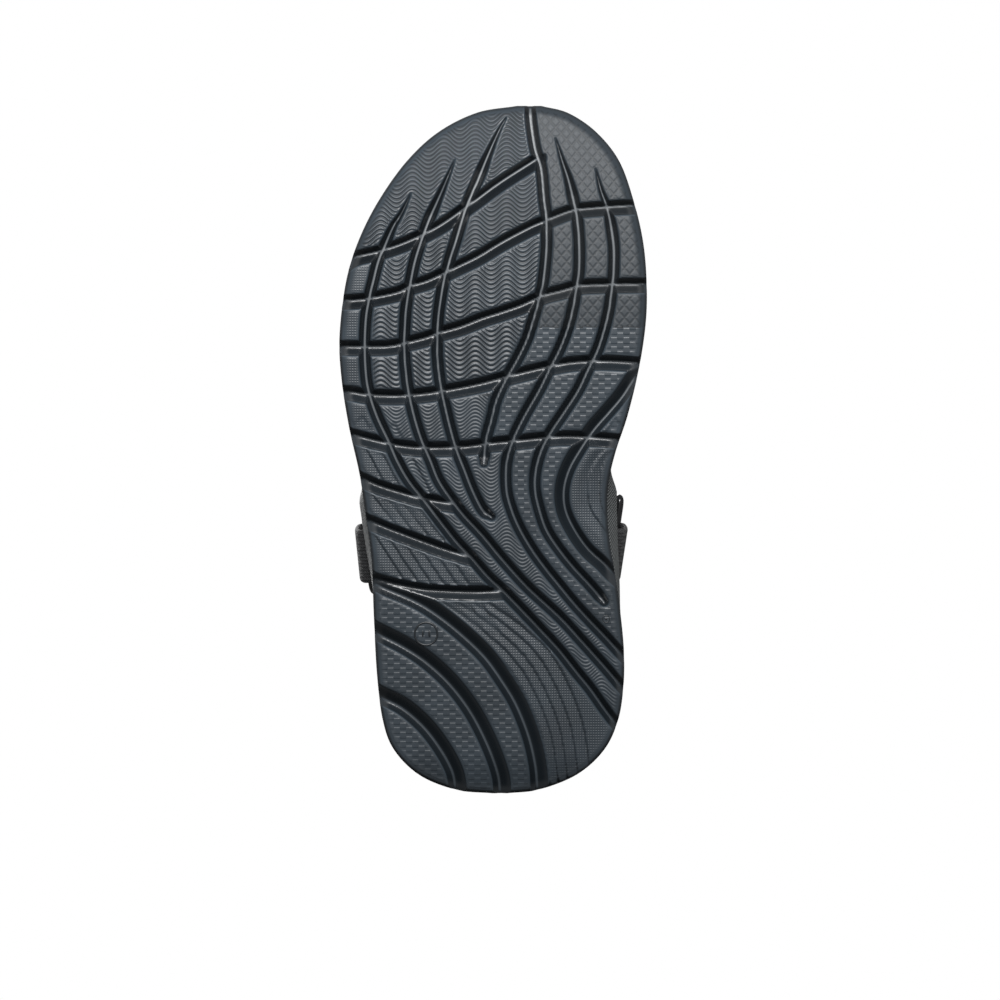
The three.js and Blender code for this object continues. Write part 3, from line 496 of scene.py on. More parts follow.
def moulded_mark(name, spot, parts):
    """Low bars and rings, half sunk. Each part is (ring radius or 0, bar length or 0, thickness, shift)."""
    x, y = spot
    bm = bmesh.new()
    for radius, length, thick, off in parts:
        at = Matrix.Translation((x + off, y, rocker(y) + thick * 0.55))
        if length:
            size = Matrix.Diagonal((thick, length / 2, thick, 1))
            bmesh.ops.create_uvsphere(bm, u_segments=16, v_segments=8, radius=1.0, matrix=at @ size)
            continue
        wire = bmesh.ops.create_circle(bm, segments=12, radius=thick)["verts"]
        turn = at @ Matrix.Translation((radius, 0, 0)) @ Matrix.Rotation(math.pi / 2, 4, "X")
        bmesh.ops.transform(bm, matrix=turn, verts=wire)
        edges = list({e for v in wire for e in v.link_edges})
        bmesh.ops.spin(bm, geom=wire + edges, cent=(x, y, 0), axis=(0, 0, 1), angle=math.tau, steps=48,
                       use_merge=True)
    bmesh.ops.recalc_face_normals(bm, faces=bm.faces)
    dress(finish_mesh(bm, name, sharp=60), "sandal", "outsole_mark", "outsole_rubber")


def close_slab(bm, thickness):
    """Grows the side wall up from the grid's border and closes the top."""
    border = [e for e in bm.edges if e.is_boundary]
    made = bmesh.ops.extrude_edge_only(bm, edges=border)["geom"]
    upper = {g for g in made if isinstance(g, bmesh.types.BMVert)}
    for v in upper:
        v.co.z = thickness
    rim = [g for g in made if isinstance(g, bmesh.types.BMEdge) and upper.issuperset(g.verts)]
    bmesh.ops.contextual_create(bm, geom=rim)


# ---------------------------------------------------------------- sizes above the outsole
# All in millimetres. GAP is kept between pieces that touch, and the webbing's own size is its thickness.
GAP = 0.3
WEBBING = 1.8
TAB_WIDTH, TAB_SETBACK, TAB_GAP = 20.0, 2.2, 0.4
TOE_WIDTH, INSTEP_WIDTH, HEEL_WIDTH = 22.0, 20.0, 15.0
SLOT_REACH, SLOT_CLEARANCE = 13.0, 0.45
CUTTER_REACH = 14
PAD_THICKNESS, PAD_GAP = 3.6, 0.5
TOE_PAD, INSTEP_PAD, HEEL_PAD = 29.0, 31.0, 27.0
PATCH, PATCH_MARGIN = 0.9, 1.0
FOOTBED, FOOTBED_INSET, FOOTBED_RIM, NOTCH = 4.7, 3.6, 4.5, 1.9
MIDSOLE_TAPER = 1.5
RING_THICKNESS, RING_BAR, RING_CLEARANCE = 3.0, 4.4, 0.6
RING_LENGTH, RING_RISE, RING_APEX = 36.6, 29.0, 8.0
INSTEP_SHIFT, RING_HEIGHT, RING_LEAN = 2.2, 11.9, 0.31
STACK = WEBBING / 2 + GAP
LOOP_AT = STACK + PATCH / 2
HOOK_AT = LOOP_AT + PATCH + GAP
FLAP_AT = HOOK_AT + PATCH / 2 + GAP + WEBBING / 2
TURN_OUT = RING_THICKNESS / 2 + RING_CLEARANCE + WEBBING / 2
TURN_IN = RING_BAR / 2 + RING_CLEARANCE + WEBBING / 2
CORNERS = [(-RING_LENGTH / 2, 0.0), (RING_LENGTH / 2, 0.0), (RING_APEX, RING_RISE)]
CORNER_CUT = 4.6
# A point this far above the lower bar's middle is inside the ring.
RING_INSIDE = 8
# The station where a ringed route has come round its first bar. It comes to its last one as far from its end.
ROUND_BAR = 6
# Tops of the midsole at the toes and at the heel, and where it climbs from one to the other.
TOE_STACK, HEEL_STACK, CLIMB = 18.5, 28.5, (-30, 70)
# How high each strap's inside arches over the footbed, and where the arches stand along the sole.
TOE_ARCH, INSTEP_ARCH, HEEL_ARCH = 39, 56, 43
TOE_LATERAL_Y, TOE_MEDIAL_Y, INSTEP_Y, HEEL_BACK_Y = -45.0, -62.0, 6, 116.0
# Where the toe strap's flap starts as a share of its route, and the flap's length.
TOE_JOINT, TOE_FLAP = 0.44, 52
STITCH_LENGTH, STITCH_GAP, STITCH_THICKNESS = 2.1, 1.0, 0.34


def midsole_top(y):
    return mix(TOE_STACK, HEEL_STACK, smooth(y, *CLIMB)) + (rocker(y) if y < 0 else 0)


def top_slope(y):
    return (midsole_top(y + 5) - midsole_top(y - 5)) / 10


def footbed_top(y):
    return midsole_top(y) + GAP + FOOTBED


def edge_x(side, y):
    """x of the outline at y, on the straighter part of a side."""
    edge = MEDIAL if side == "medial" else LATERAL
    low, high = 0.1, 0.9
    for _ in range(30):
        middle = (low + high) / 2
        if edge.along(middle)[0].y < y:
            low = middle
        else:
            high = middle
    return edge.along(low)[0].x


def flare(side, y):
    """How far the midsole stands out past the outsole along the waist."""
    if side == "medial":
        return 4.4 * smooth(y, 5, 17) * (1 - smooth(y, 24, 74))
    return 2.6 * smooth(y, 12, 20) * (1 - smooth(y, 34, 64))


# ---------------------------------------------------------------- strap routes
class Route:
    """A strap's middle line with its width direction; its outer face looks along tangent x wide."""

    def __init__(self, stations):
        self.line = Curve([at for at, _ in stations], power=0.5)
        self.wide = Curve([wide for _, wide in stations])
        self.length = self.line.length

    def frame(self, distance):
        """Point, direction, width direction and outward direction at a distance along the route."""
        t = self.line.share(distance)
        at = self.line.at(t)
        along = (self.line.at(min(1, t + 1e-4)) - self.line.at(max(0, t - 1e-4))).normalized()
        wide = self.wide.at(t)
        wide = (wide - along * wide.dot(along)).normalized()
        return at, along, wide, along.cross(wide)

    def point(self, distance, sideways, outwards):
        """A place on or over the strap at a distance along the route."""
        at, _, wide, out = self.frame(distance)
        return at + wide * sideways + out * outwards

    def distance_at(self, station):
        """How far along the route a station is."""
        share = station / (len(self.line.points) - 1)
        return self.line.table[round(share * (len(self.line.table) - 1))]


class RingFrame:
    """A side ring's own directions: along the sole's edge, up and outwards."""

    def __init__(self, side, y, stand_off, yaw):
        sign = 1 if side == "medial" else -1
        self.side = side
        self.stand_off = stand_off
        self.long = Vector((-sign * yaw, 1, top_slope(y))).normalized()
        self.out = Vector((sign, yaw, 0)).normalized()
        self.up = self.out.cross(self.long) * sign
        self.origin = Vector((edge_x(side, y) + sign * stand_off, y, midsole_top(y) + RING_HEIGHT))
        upright, tipped = math.cos(RING_LEAN), math.sin(RING_LEAN)
        self.lean_up = self.up * upright - self.out * tipped
        self.lean_out = self.out * upright + self.up * tipped

    def point(self, p, q, r):
        """A place in the leaning ring: along the sole, up the ring, and out of its face."""
        return self.origin + self.long * p + self.lean_up * q + self.lean_out * r


class Bar:
    """A side bar of a ring with a strap shift mm above the bar's middle."""

    def __init__(self, ring, start, end, shift):
        span = math.hypot(end[0] - start[0], end[1] - start[1])
        self.ring = ring
        self.dp, self.dq = (end[0] - start[0]) / span, (end[1] - start[1]) / span
        self.middle = ((start[0] + end[0]) / 2 + self.dp * shift,
                       (start[1] + end[1]) / 2 + self.dq * shift)
        self.along = ring.long * self.dp + ring.lean_up * self.dq
        self.away = 1 if -self.dq * self.middle[0] + self.dp * (self.middle[1] - RING_INSIDE) >= 0 else -1

    def point(self, distance, outwards):
        """A place at a distance away from the ring, from the middle of the strap's bar."""
        return self.ring.point(self.middle[0] - self.away * self.dq * distance,
                               self.middle[1] + self.away * self.dp * distance, outwards)


def tab_route(ring):
    """Out of the midsole's slot, up the outside, over the ring's lower bar and down the inside."""
    top = -RING_HEIGHT
    upper = top - TAB_GAP - WEBBING / 2
    lower = upper - WEBBING - TAB_GAP
    out, rise = TURN_OUT + TAB_GAP, TURN_IN + TAB_GAP / 2
    section = [(-SLOT_REACH, lower), (-4, lower), (out - 1.6, lower + 0.5), (out - 0.3, lower + 3.4),
               (out + 0.2, top + 4), (out, -2), (out * 0.75, rise * 0.7), (0, rise),
               (-out * 0.75, rise * 0.7), (-out, -2), (-out - 0.2, top + 4), (-out - 0.9, top + 1.3),
               (-out - 3, upper), (-SLOT_REACH, upper)]
    middle = ring.origin + ring.long * TAB_SETBACK
    wide = ring.long * (1 if ring.out.x > 0 else -1)
    return Route([(middle + ring.out * a + ring.up * b, wide) for a, b in section])


class Anchor:
    """Where a strap leaves the sole: a point on the midsole's top edge and three directions."""

    def __init__(self, origin, long, out, up, width, depth, edge):
        self.origin, self.long, self.out, self.up = origin, long, out, up
        self.width, self.depth, self.edge = width, depth, edge

    def block(self, name, outwards, upwards):
        """A cutter as wide as the strap and its clearance, between two places outwards and two upwards."""
        def place(a, b, c):
            return (self.origin + self.long * (a - 0.5) * (self.width + 2 * SLOT_CLEARANCE)
                    + self.out * mix(*outwards, b) + self.up * mix(*upwards, c))
        return finish_mesh(box_mesh(1, 1, 1, place), name, scale=1.0)

    def slot(self):
        """The cutter for the midsole."""
        return self.block("slot", (-SLOT_REACH - 1, CUTTER_REACH), (-self.depth, 6))

    def notch(self):
        """The cutter for the footbed."""
        return self.block("notch", (-self.edge - FOOTBED_INSET - NOTCH, CUTTER_REACH), (-2, 16))


def tab_anchor(ring):
    """Where a ring's tab enters the sole."""
    origin = ring.origin - ring.up * RING_HEIGHT + ring.long * TAB_SETBACK
    depth = 2 * TAB_GAP + 2 * WEBBING + GAP
    return Anchor(origin, ring.long, ring.out, ring.up, TAB_WIDTH, depth, ring.stand_off)


def toe_anchor(side):
    """Where an end of the toe strap enters the sole."""
    sign = 1 if side == "medial" else -1
    y = TOE_MEDIAL_Y if side == "medial" else TOE_LATERAL_Y
    long = Vector((0, 1, top_slope(y))).normalized()
    out = Vector((sign, 0, 0))
    origin = Vector((edge_x(side, y), y, midsole_top(y)))
    return Anchor(origin, long, out, out.cross(long) * sign, TOE_WIDTH, WEBBING + 2 * GAP, 0)


def arch(angles, across_power, height_power):
    """Places on a squared arch at angles in degrees: across from -1 to 1, and height from 0 to 1."""
    places = []
    for degrees in angles:
        angle = math.radians(degrees)
        across = -math.copysign(abs(math.cos(angle)) ** across_power, math.cos(angle))
        places.append((across, max(0, math.sin(angle)) ** height_power))
    return places


def toe_route():
    """From under the lateral edge, over the toes, to under the medial edge."""
    left, right = toe_anchor("lateral"), toe_anchor("medial")
    under = -GAP - WEBBING / 2
    inset = -MIDSOLE_TAPER - WEBBING / 2
    ends = [(-SLOT_REACH, under), (inset - 4, under), (inset - 1.4, under + 0.5), (inset, 2), (inset, 7)]
    shoulder = 13
    rise = TOE_ARCH + GAP + FOOTBED + WEBBING / 2 - shoulder
    centre = left.origin.lerp(right.origin, 0.5)
    half = (right.origin.x - left.origin.x) / 2

    def near(anchor, out, up):
        return anchor.origin + anchor.out * out + anchor.up * up, anchor.long

    over = []
    for across, height in arch((8, 28, 48, 68, 90, 112, 132, 152, 172), 0.8, 0.85):
        at = Vector((centre.x + across * (half + inset),
                     mix(left.origin.y, right.origin.y, (across + 1) / 2) - 4 * height,
                     centre.z + shoulder + rise * height))
        over.append((at, Vector((0, 1, 0.12 + 0.12 * height))))
    return Route([near(left, *e) for e in ends] + over + [near(right, *e) for e in reversed(ends)])


def ringed_route(start, end, middle, wide_sign):
    """Round a bar, along the middle stations, and round the other bar."""
    def turn(bar):
        legs = [(10, TURN_OUT * 0.75), (4, TURN_OUT), (0, TURN_OUT), (-TURN_IN * 0.75, TURN_OUT * 0.75),
                (-TURN_IN, 0), (-TURN_IN * 0.75, -TURN_OUT * 0.75), (0, -TURN_OUT), (5, -TURN_OUT - 0.3)]
        return [(bar.point(*leg), bar.along * wide_sign) for leg in legs]
    return Route(turn(start) + middle + turn(end)[::-1])


def instep_middle(start, end):
    """The instep strap's arch between its two bars."""
    first, last = start.point(14, -TURN_OUT - 1.6), end.point(14, -TURN_OUT - 1.6)
    top = footbed_top(INSTEP_Y) + INSTEP_ARCH + WEBBING / 2
    stations = []
    for across, height in arch((0, 22, 45, 68, 90, 112, 135, 158, 180), 0.88, 0.95):
        share = (across + 1) / 2
        at = Vector(((first.x + last.x) / 2 + (last.x - first.x) / 2 * across,
                     mix(mix(first.y, last.y, share), INSTEP_Y, height),
                     mix(mix(first.z, last.z, share), top, height)))
        side = start.along.lerp(end.along, share)
        stations.append((at, side.lerp(Vector((0, 0.86, 0.5)), height * 0.9).normalized()))
    return stations


def heel_middle(start, end):
    """The heel strap's sweep round the back between its two bars."""
    first, last = start.point(14, -TURN_OUT - 0.9), end.point(14, -TURN_OUT - 0.9)
    back_z = footbed_top(HEEL_BACK_Y) + HEEL_ARCH
    stations = []
    for across, reach in arch((0, 20, 42, 66, 90, 114, 138, 160, 180), 0.75, 0.9):
        share = (across + 1) / 2
        at = Vector(((first.x + last.x) / 2 + (last.x - first.x) / 2 * across * (1 - 0.12 * reach),
                     mix(mix(first.y, last.y, share), HEEL_BACK_Y, reach),
                     mix(mix(first.z, last.z, share), back_z, math.sqrt(reach))))
        side = -start.along.lerp(end.along, share)
        stations.append((at, side.lerp(Vector((0, 0.14, -1)), reach).normalized()))
    return stations


# ---------------------------------------------------------------- bands, pads and stitches
# A band's columns as shares of its width, its height at each, the height of its two ends, and the angles
# at which a rounded tip has its rows.
ACROSS = (0, 0.015, 0.05, 0.14, 0.26, 0.38, 0.5, 0.62, 0.74, 0.86, 0.95, 0.985, 1)
EDGE_HEIGHT = (0.4, 0.78, 1, 1, 1, 1, 1, 1, 1, 1, 1, 0.78, 0.4)
END_HEIGHT = 0.55
TIP_ANGLES = (0, 20, 40, 60, 75, 84)


def stops_between(start, end, step):
    count = max(2, math.ceil(abs(end - start) / step))
    return [mix(start, end, i / count) for i in range(count + 1)]


def tip_width(from_tip, width, radius):
    """The band's width near a tip with rounded corners."""
    if from_tip >= radius:
        return width
    return width - 2 * (radius - math.sqrt(max(0, radius ** 2 - (radius - from_tip) ** 2)))


def band(name, route, start, end, width, offset=0.0, thickness=WEBBING, step=1.2, tip=0.0):
    """A woven band along a route, with rounded edges; tip rounds the corners of its far end."""
    stops = stops_between(start, end, step)
    if tip:
        stops = [stop for stop in stops if abs(end - stop) > tip]
        for angle in TIP_ANGLES:
            stops.append(end - math.copysign(tip * (1 - math.sin(math.radians(angle))), end - start))
    offset_at = offset if callable(offset) else lambda _: offset
    runs = {}

    def place(along, across, up):
        distance = stops[round(along * (len(stops) - 1))]
        column = round(across * (len(ACROSS) - 1))
        here = tip_width(abs(end - distance), width, tip) if tip else width
        side = (ACROSS[column] - 0.5) * here
        last = min(along, 1 - along) * (len(stops) - 1)
        depth = EDGE_HEIGHT[column] * (END_HEIGHT if last < 0.5 else 1) * thickness
        runs[len(runs)] = (distance, side)
        return route.point(distance, side, offset_at(distance) + (up - 0.5) * depth)

    bm = box_mesh(len(stops) - 1, len(ACROSS) - 1, 1, place)
    store_runs(bm, runs)
    return finish_mesh(bm, name, sharp=55)


def store_runs(bm, runs):
    """Keeps each corner's place along and across its band, in metres, for the weave."""
    along = bm.verts.layers.float.new("run")
    across = bm.verts.layers.float.new("side")
    for i, v in enumerate(bm.verts):
        v[along], v[across] = runs[i][0] * MM, runs[i][1] * MM


def soft_pad(name, route, start, end, width):
    """A padded lining: crowned inwards, thin where it is sewn along its edges and its two channels."""
    stops = stops_between(start, end, 1.6)
    columns = 24
    channel = width * 5 / columns
    runs = {}
    sewn = []

    def place(along, across, up):
        distance = stops[round(along * (len(stops) - 1))]
        from_end = min(abs(distance - start), abs(end - distance))
        here = tip_width(from_end, width, 8)
        side = (across - 0.5) * here
        from_edge = min(here / 2 - abs(side), from_end)
        puff = mix(0.32, 0.9, soft_height(from_edge / 4.2))
        seam = 0.2 * math.exp(-((abs(side) - channel) / 0.7) ** 2)
        top = -WEBBING / 2 - PAD_GAP - 0.12 * PAD_THICKNESS * (1 - puff)
        if up > 0.5 or from_edge < 1.3 or abs(abs(side) - channel) < 0.3:
            sewn.append(len(runs))
        runs[len(runs)] = (distance, side)
        return route.point(distance, side, top - (1 - up) * PAD_THICKNESS * (puff - seam))

    bm = box_mesh(len(stops) - 1, columns, 1, place)
    store_runs(bm, runs)
    pad = finish_mesh(bm, name, sharp=70)
    swell(pad, sewn)
    return pad


def swell(pad, sewn, cap=0.7, frames=20):
    """Cloth simulation: the foam pushes the cover out between its seams, by cap mm at most."""
    group = pad.vertex_groups.new(name="sewn")
    group.add(sewn, 1.0, "REPLACE")
    cloth = pad.modifiers.new("cover", "CLOTH")
    cloth.settings.vertex_group_mass = "sewn"
    cloth.settings.use_pressure = True
    cloth.settings.uniform_pressure_force = 4.0
    cloth.settings.effector_weights.gravity = 0.0
    cloth.collision_settings.use_collision = False
    cloth.point_cache.frame_end = frames
    scene = bpy.context.scene
    for frame_number in range(1, frames + 1):
        scene.frame_set(frame_number)
    moved = pad.evaluated_get(bpy.context.evaluated_depsgraph_get()).data
    shifts = [after.co - before.co for after, before in zip(moved.vertices, pad.data.vertices)]
    pad.modifiers.remove(cloth)
    pad.vertex_groups.remove(group)
    scene.frame_set(1)
    limit = cap * MM
    for v, shift in zip(pad.data.vertices, shifts):
        v.co += shift * min(1, limit / max(shift.length, 1e-9))


def soft_height(t):
    """A quarter round: steep at 0 and level at 1."""
    t = min(1, max(0, t))
    return math.sqrt(1 - (1 - t) ** 2)


def side_rows(start, end, edge):
    """Two lengthwise rows of stitches, one along each edge."""
    return [(start, end, -edge, -edge), (start, end, edge, edge)]


def cross_rows(edge, *stops):
    """Rows of stitches across a band, one at each stop."""
    return [(stop, stop, -edge, edge) for stop in stops]


def stitches(name, route, lines, offset):
    """Rows of thread stitches: each line is (start, end, from side, to side) on the route's surface."""
    offset_at = offset if callable(offset) else lambda _: offset
    bm = bmesh.new()
    for start, end, side_a, side_b in lines:
        span = math.hypot(end - start, side_b - side_a)
        count = max(1, round(span / (STITCH_LENGTH + STITCH_GAP)))
        for i in range(count):
            share = (i + 0.5) / count
            distance, side = mix(start, end, share), mix(side_a, side_b, share)
            _, along, wide, out = route.frame(distance)
            heading = (along * (end - start) + wide * (side_b - side_a)).normalized()
            spot = route.point(distance, side, offset_at(distance))
            turn = Matrix((heading, out.cross(heading), out)).transposed().to_4x4()
            size = Matrix.Diagonal((STITCH_LENGTH / 2, STITCH_THICKNESS / 2, STITCH_THICKNESS / 2, 1))
            bmesh.ops.create_icosphere(bm, subdivisions=1, radius=1.0,
                                       matrix=Matrix.Translation(spot) @ turn @ size)
    return finish_mesh(bm, name, sharp=180)


def dress(obj, body, finish, slot, *nodes):
    """Gives a piece its body and finish, and hides the frame nodes it stands for. Its slot is not used."""
    if nodes:
        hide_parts(*nodes)
    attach(obj, body)
    obj.data.materials.append(look(finish))
    return obj


def cut_blocks(obj, blocks):
    """Cuts blocks out of a piece still in millimetres."""
    for block in blocks:
        modifier = obj.modifiers.new("cut", "BOOLEAN")
        modifier.operation = "DIFFERENCE"
        modifier.object = block
        modifier.solver = "EXACT"
    cut = bpy.data.meshes.new_from_object(obj.evaluated_get(bpy.context.evaluated_depsgraph_get()))
    bm = bmesh.new()
    bm.from_mesh(cut)
    name = obj.name
    for spent in [*blocks, obj]:
        bpy.data.objects.remove(spent)
    return finish_mesh(bm, name, sharp=40)


# ---------------------------------------------------------------- sole pieces above the tread
def sole_layer(name, nx, ny, nz, spread, height):
    """A slab in the outline's shape. spread(side, y, up) moves its edge out; height(y, up, rim) sets z."""
    edges = []
    for i in range(ny + 1):
        left, left_way = LATERAL.along(i / ny)
        right, right_way = MEDIAL.along(i / ny)
        edges.append((left, left_way, right, right_way))

    def place(across, along, up):
        left, left_way, right, right_way = edges[round(along * ny)]
        left = side_of(left, left_way, spread("lateral", left.y, up))
        right = side_of(right, right_way, -spread("medial", right.y, up))
        t = mix(across, 0.5 - 0.5 * math.cos(math.pi * across), 0.7)
        point = left.lerp(right, t)
        point.z = height(point.y, up, max(abs(2 * t - 1), 2 * along - 1))
        return point

    return finish_mesh(box_mesh(nx, ny, nz, place), name, scale=1.0)


def build_midsole(anchors):
    """The midsole, flared at the waist, with a slot for each strap end."""
    def spread(side, y, up):
        edge = -0.5 * (1 - min(1, min(up, 1 - up) / 0.06)) ** 2
        band_line = -0.35 * math.exp(-((up - 0.82) / 0.03) ** 2)
        return flare(side, y) * min(1, up * 1.8) - MIDSOLE_TAPER * up ** 2 + edge + band_line

    def height(y, up, _):
        return mix(rocker(y) + settings().outsole / MM + GAP, midsole_top(y), up)

    obj = sole_layer("midsole_body", 16, 150, 26, spread, height)
    return cut_blocks(obj, [anchor.slot() for anchor in anchors])


def build_footbed(anchors):
    """The footbed, with a raised rim round the heel and a notch for each strap end."""
    def spread(_, y, up):
        return -FOOTBED_INSET - 0.9 * (1 - min(1, (1 - up) / 0.3)) ** 2

    def height(y, up, rim):
        raised = FOOTBED_RIM * smooth(y, -20, 60) * rim ** 6
        return midsole_top(y) + GAP + up * (FOOTBED + raised)

    obj = sole_layer("footbed_body", 24, 110, 8, spread, height)
    return cut_blocks(obj, [anchor.notch() for anchor in anchors])


# ---------------------------------------------------------------- rings
def ring_line():
    """The middle line of a ring's bar: a triangle with rounded corners, as even points."""
    points = []
    for i, corner in enumerate(CORNERS):
        before, after = Vector(CORNERS[i - 1]), Vector(CORNERS[(i + 1) % 3])
        here = Vector(corner)
        start = here + (before - here).normalized() * CORNER_CUT
        end = here + (after - here).normalized() * CORNER_CUT
        for step in range(9):
            t = step / 8
            points.append(start * (1 - t) ** 2 + here * 2 * t * (1 - t) + end * t * t)
    return points


def build_ring(ring):
    """A ring's bar with a squared oval section, swept along its middle line."""
    points = ring_line()
    count, sides, squareness = len(points), 20, 0.72

    def place(along, across):
        i = round(along * count) % count
        here = points[i]
        way = (points[(i + 1) % count] - points[i - 1]).normalized()
        normal = Vector((way.y, -way.x))
        angle = across * math.tau
        wide = math.copysign(abs(math.cos(angle)) ** squareness, math.cos(angle)) * RING_BAR / 2
        high = math.copysign(abs(math.sin(angle)) ** squareness, math.sin(angle)) * RING_THICKNESS / 2
        spot = here + normal * wide
        return ring.point(spot.x, spot.y, high)

    bm = bmesh.new()
    bmesh.ops.create_grid(bm, x_segments=count, y_segments=sides, size=0.5)
    for v in bm.verts:
        v.co = place(v.co.x + 0.5, v.co.y + 0.5)
    bmesh.ops.remove_doubles(bm, verts=bm.verts, dist=1e-3)
    bmesh.ops.recalc_face_normals(bm, faces=bm.faces)
    return finish_mesh(bm, f"side_ring_{ring.side}", sharp=180)


# ---------------------------------------------------------------- strap assemblies
def build_tab(ring):
    """The webbing that holds a ring to the sole, with its thread."""
    route = tab_route(ring)
    tab = band(f"side_tab_{ring.side}", route, 0, route.length, TAB_WIDTH)
    dress(tab, "sandal", "webbing", "webbing", f"ring_tab_{ring.side}")
    top = route.distance_at(7)
    rows = cross_rows(8.5, top + 8.5, top - 8.5, top - 10.2)
    thread = stitches(f"side_tab_thread_{ring.side}", route, rows, WEBBING / 2)
    dress(thread, "sandal", "thread", "webbing")


def build_toe():
    """The toe strap in two ends: the medial one runs under a flap sewn to the lateral one."""
    route = toe_route()
    joint = route.length * TOE_JOINT
    flap_end = joint + TOE_FLAP
    width = TOE_WIDTH

    def lift(distance):
        """The lateral end climbs to the flap's level before the joint."""
        return FLAP_AT * smooth(distance, joint - 21, joint - 6)

    pieces = [
        (band("toe_lateral_webbing", route, 0, joint, width, lift), "webbing", "toe_strap_lateral"),
        (band("toe_medial_webbing", route, joint - 4, route.length, width), "webbing", "toe_strap_medial"),
        (band("toe_loops", route, joint + 3, flap_end, width - 2 * PATCH_MARGIN, LOOP_AT, PATCH), "loop_tape",
         "toe_loop_patch")]
    for obj, slot, node in pieces:
        dress(obj, "sandal", slot, slot, node)
    hooks = band("toe_hooks", route, joint + 5, flap_end - 3, width - 2 * PATCH_MARGIN, HOOK_AT, PATCH)
    dress(hooks, "toe_flap", "hook_tape", "hook_tape", "toe_hook_patch")
    flap = band("toe_flap_webbing", route, joint + GAP, flap_end, width, FLAP_AT, tip=5)
    dress(flap, "toe_flap", "webbing", "webbing", "toe_flap")
    pad = soft_pad("toe_padding", route, route.length * 0.25, route.length * 0.75, TOE_PAD)
    dress(pad, "sandal", "lining", "lining", "toe_pad")
    far = flap_end - 3.2
    rows = side_rows(joint + 6, far, 9.2) + cross_rows(8.6, far, joint + 6)
    dress(stitches("toe_flap_thread", route, rows, FLAP_AT + WEBBING / 2), "toe_flap", "thread", "webbing")
    rows = side_rows(26, joint - 24, 9.4) + side_rows(flap_end + 6, route.length - 24, 9.4)
    dress(stitches("toe_strap_thread", route, rows, WEBBING / 2), "sandal", "thread", "webbing")


def build_ringed(name, route, width, at_end, flap_length, pad_from, pad_width):
    """A strap through both rings. Its flap folds back round the bar at its end, or at its start."""
    turns = [route.distance_at(station) for station in (ROUND_BAR, len(route.line.points) - 1 - ROUND_BAR)]
    bar, other = turns[::-1] if at_end else turns
    way = -1 if at_end else 1
    fold = 10 + GAP

    def lift(distance):
        """The flap comes down from the turn round the bar to its own level."""
        return mix(TURN_OUT * 1.75, FLAP_AT, smooth((distance - bar) * way, fold, fold + 12)) + GAP

    strap = band(f"{name}_webbing", route, 0, route.length, width, step=0.9)
    dress(strap, "sandal", "webbing", "webbing", f"{name}_strap")
    patch = width - 2 * PATCH_MARGIN
    tip = bar + way * flap_length
    loops = band(f"{name}_loops", route, bar + way * (fold + 8), tip, patch, LOOP_AT, PATCH)
    dress(loops, "sandal", "loop_tape", "loop_tape", f"{name}_loop_patch")
    far = bar + way * (flap_length - 3)
    hooks = band(f"{name}_hooks", route, bar + way * (fold + 13), far, patch, HOOK_AT, PATCH)
    dress(hooks, f"{name}_flap", "hook_tape", "hook_tape", f"{name}_hook_patch")
    flap = band(f"{name}_flap_webbing", route, bar + way * fold, tip, width, lift, tip=4)
    dress(flap, f"{name}_flap", "webbing", "webbing", f"{name}_flap")
    pad = soft_pad(f"{name}_padding", route, turns[0] + pad_from, turns[1] - pad_from, pad_width)
    dress(pad, "sandal", "lining", "lining", f"{name}_pad")
    edge = width / 2 - 1.6
    near = bar + way * (fold + 4)
    rows = side_rows(near, far, edge) + cross_rows(edge, far, near)
    thread = stitches(f"{name}_flap_thread", route, rows, lambda d: lift(d) + WEBBING / 2)
    dress(thread, f"{name}_flap", "thread", "webbing")
    rows = side_rows(other - way * 18, bar + way * (flap_length + 6), edge)
    thread = stitches(f"{name}_strap_thread", route, rows, WEBBING / 2)
    dress(thread, "sandal", "thread", "webbing")


def side_rings():
    return [RingFrame("lateral", y=36, stand_off=1.3, yaw=0.1),
            RingFrame("medial", y=35.5, stand_off=1.9, yaw=0.15)]


def strap_anchors():
    """Where the webbing enters the sole: under both tabs and both ends of the toe strap."""
    return [tab_anchor(ring) for ring in side_rings()] + [toe_anchor("lateral"), toe_anchor("medial")]


def ring_bars(corner, shift):
    """The bars that a strap turns round, one on each ring, from a lower corner to the top one."""
    return [Bar(ring, CORNERS[corner], CORNERS[2], shift) for ring in side_rings()]


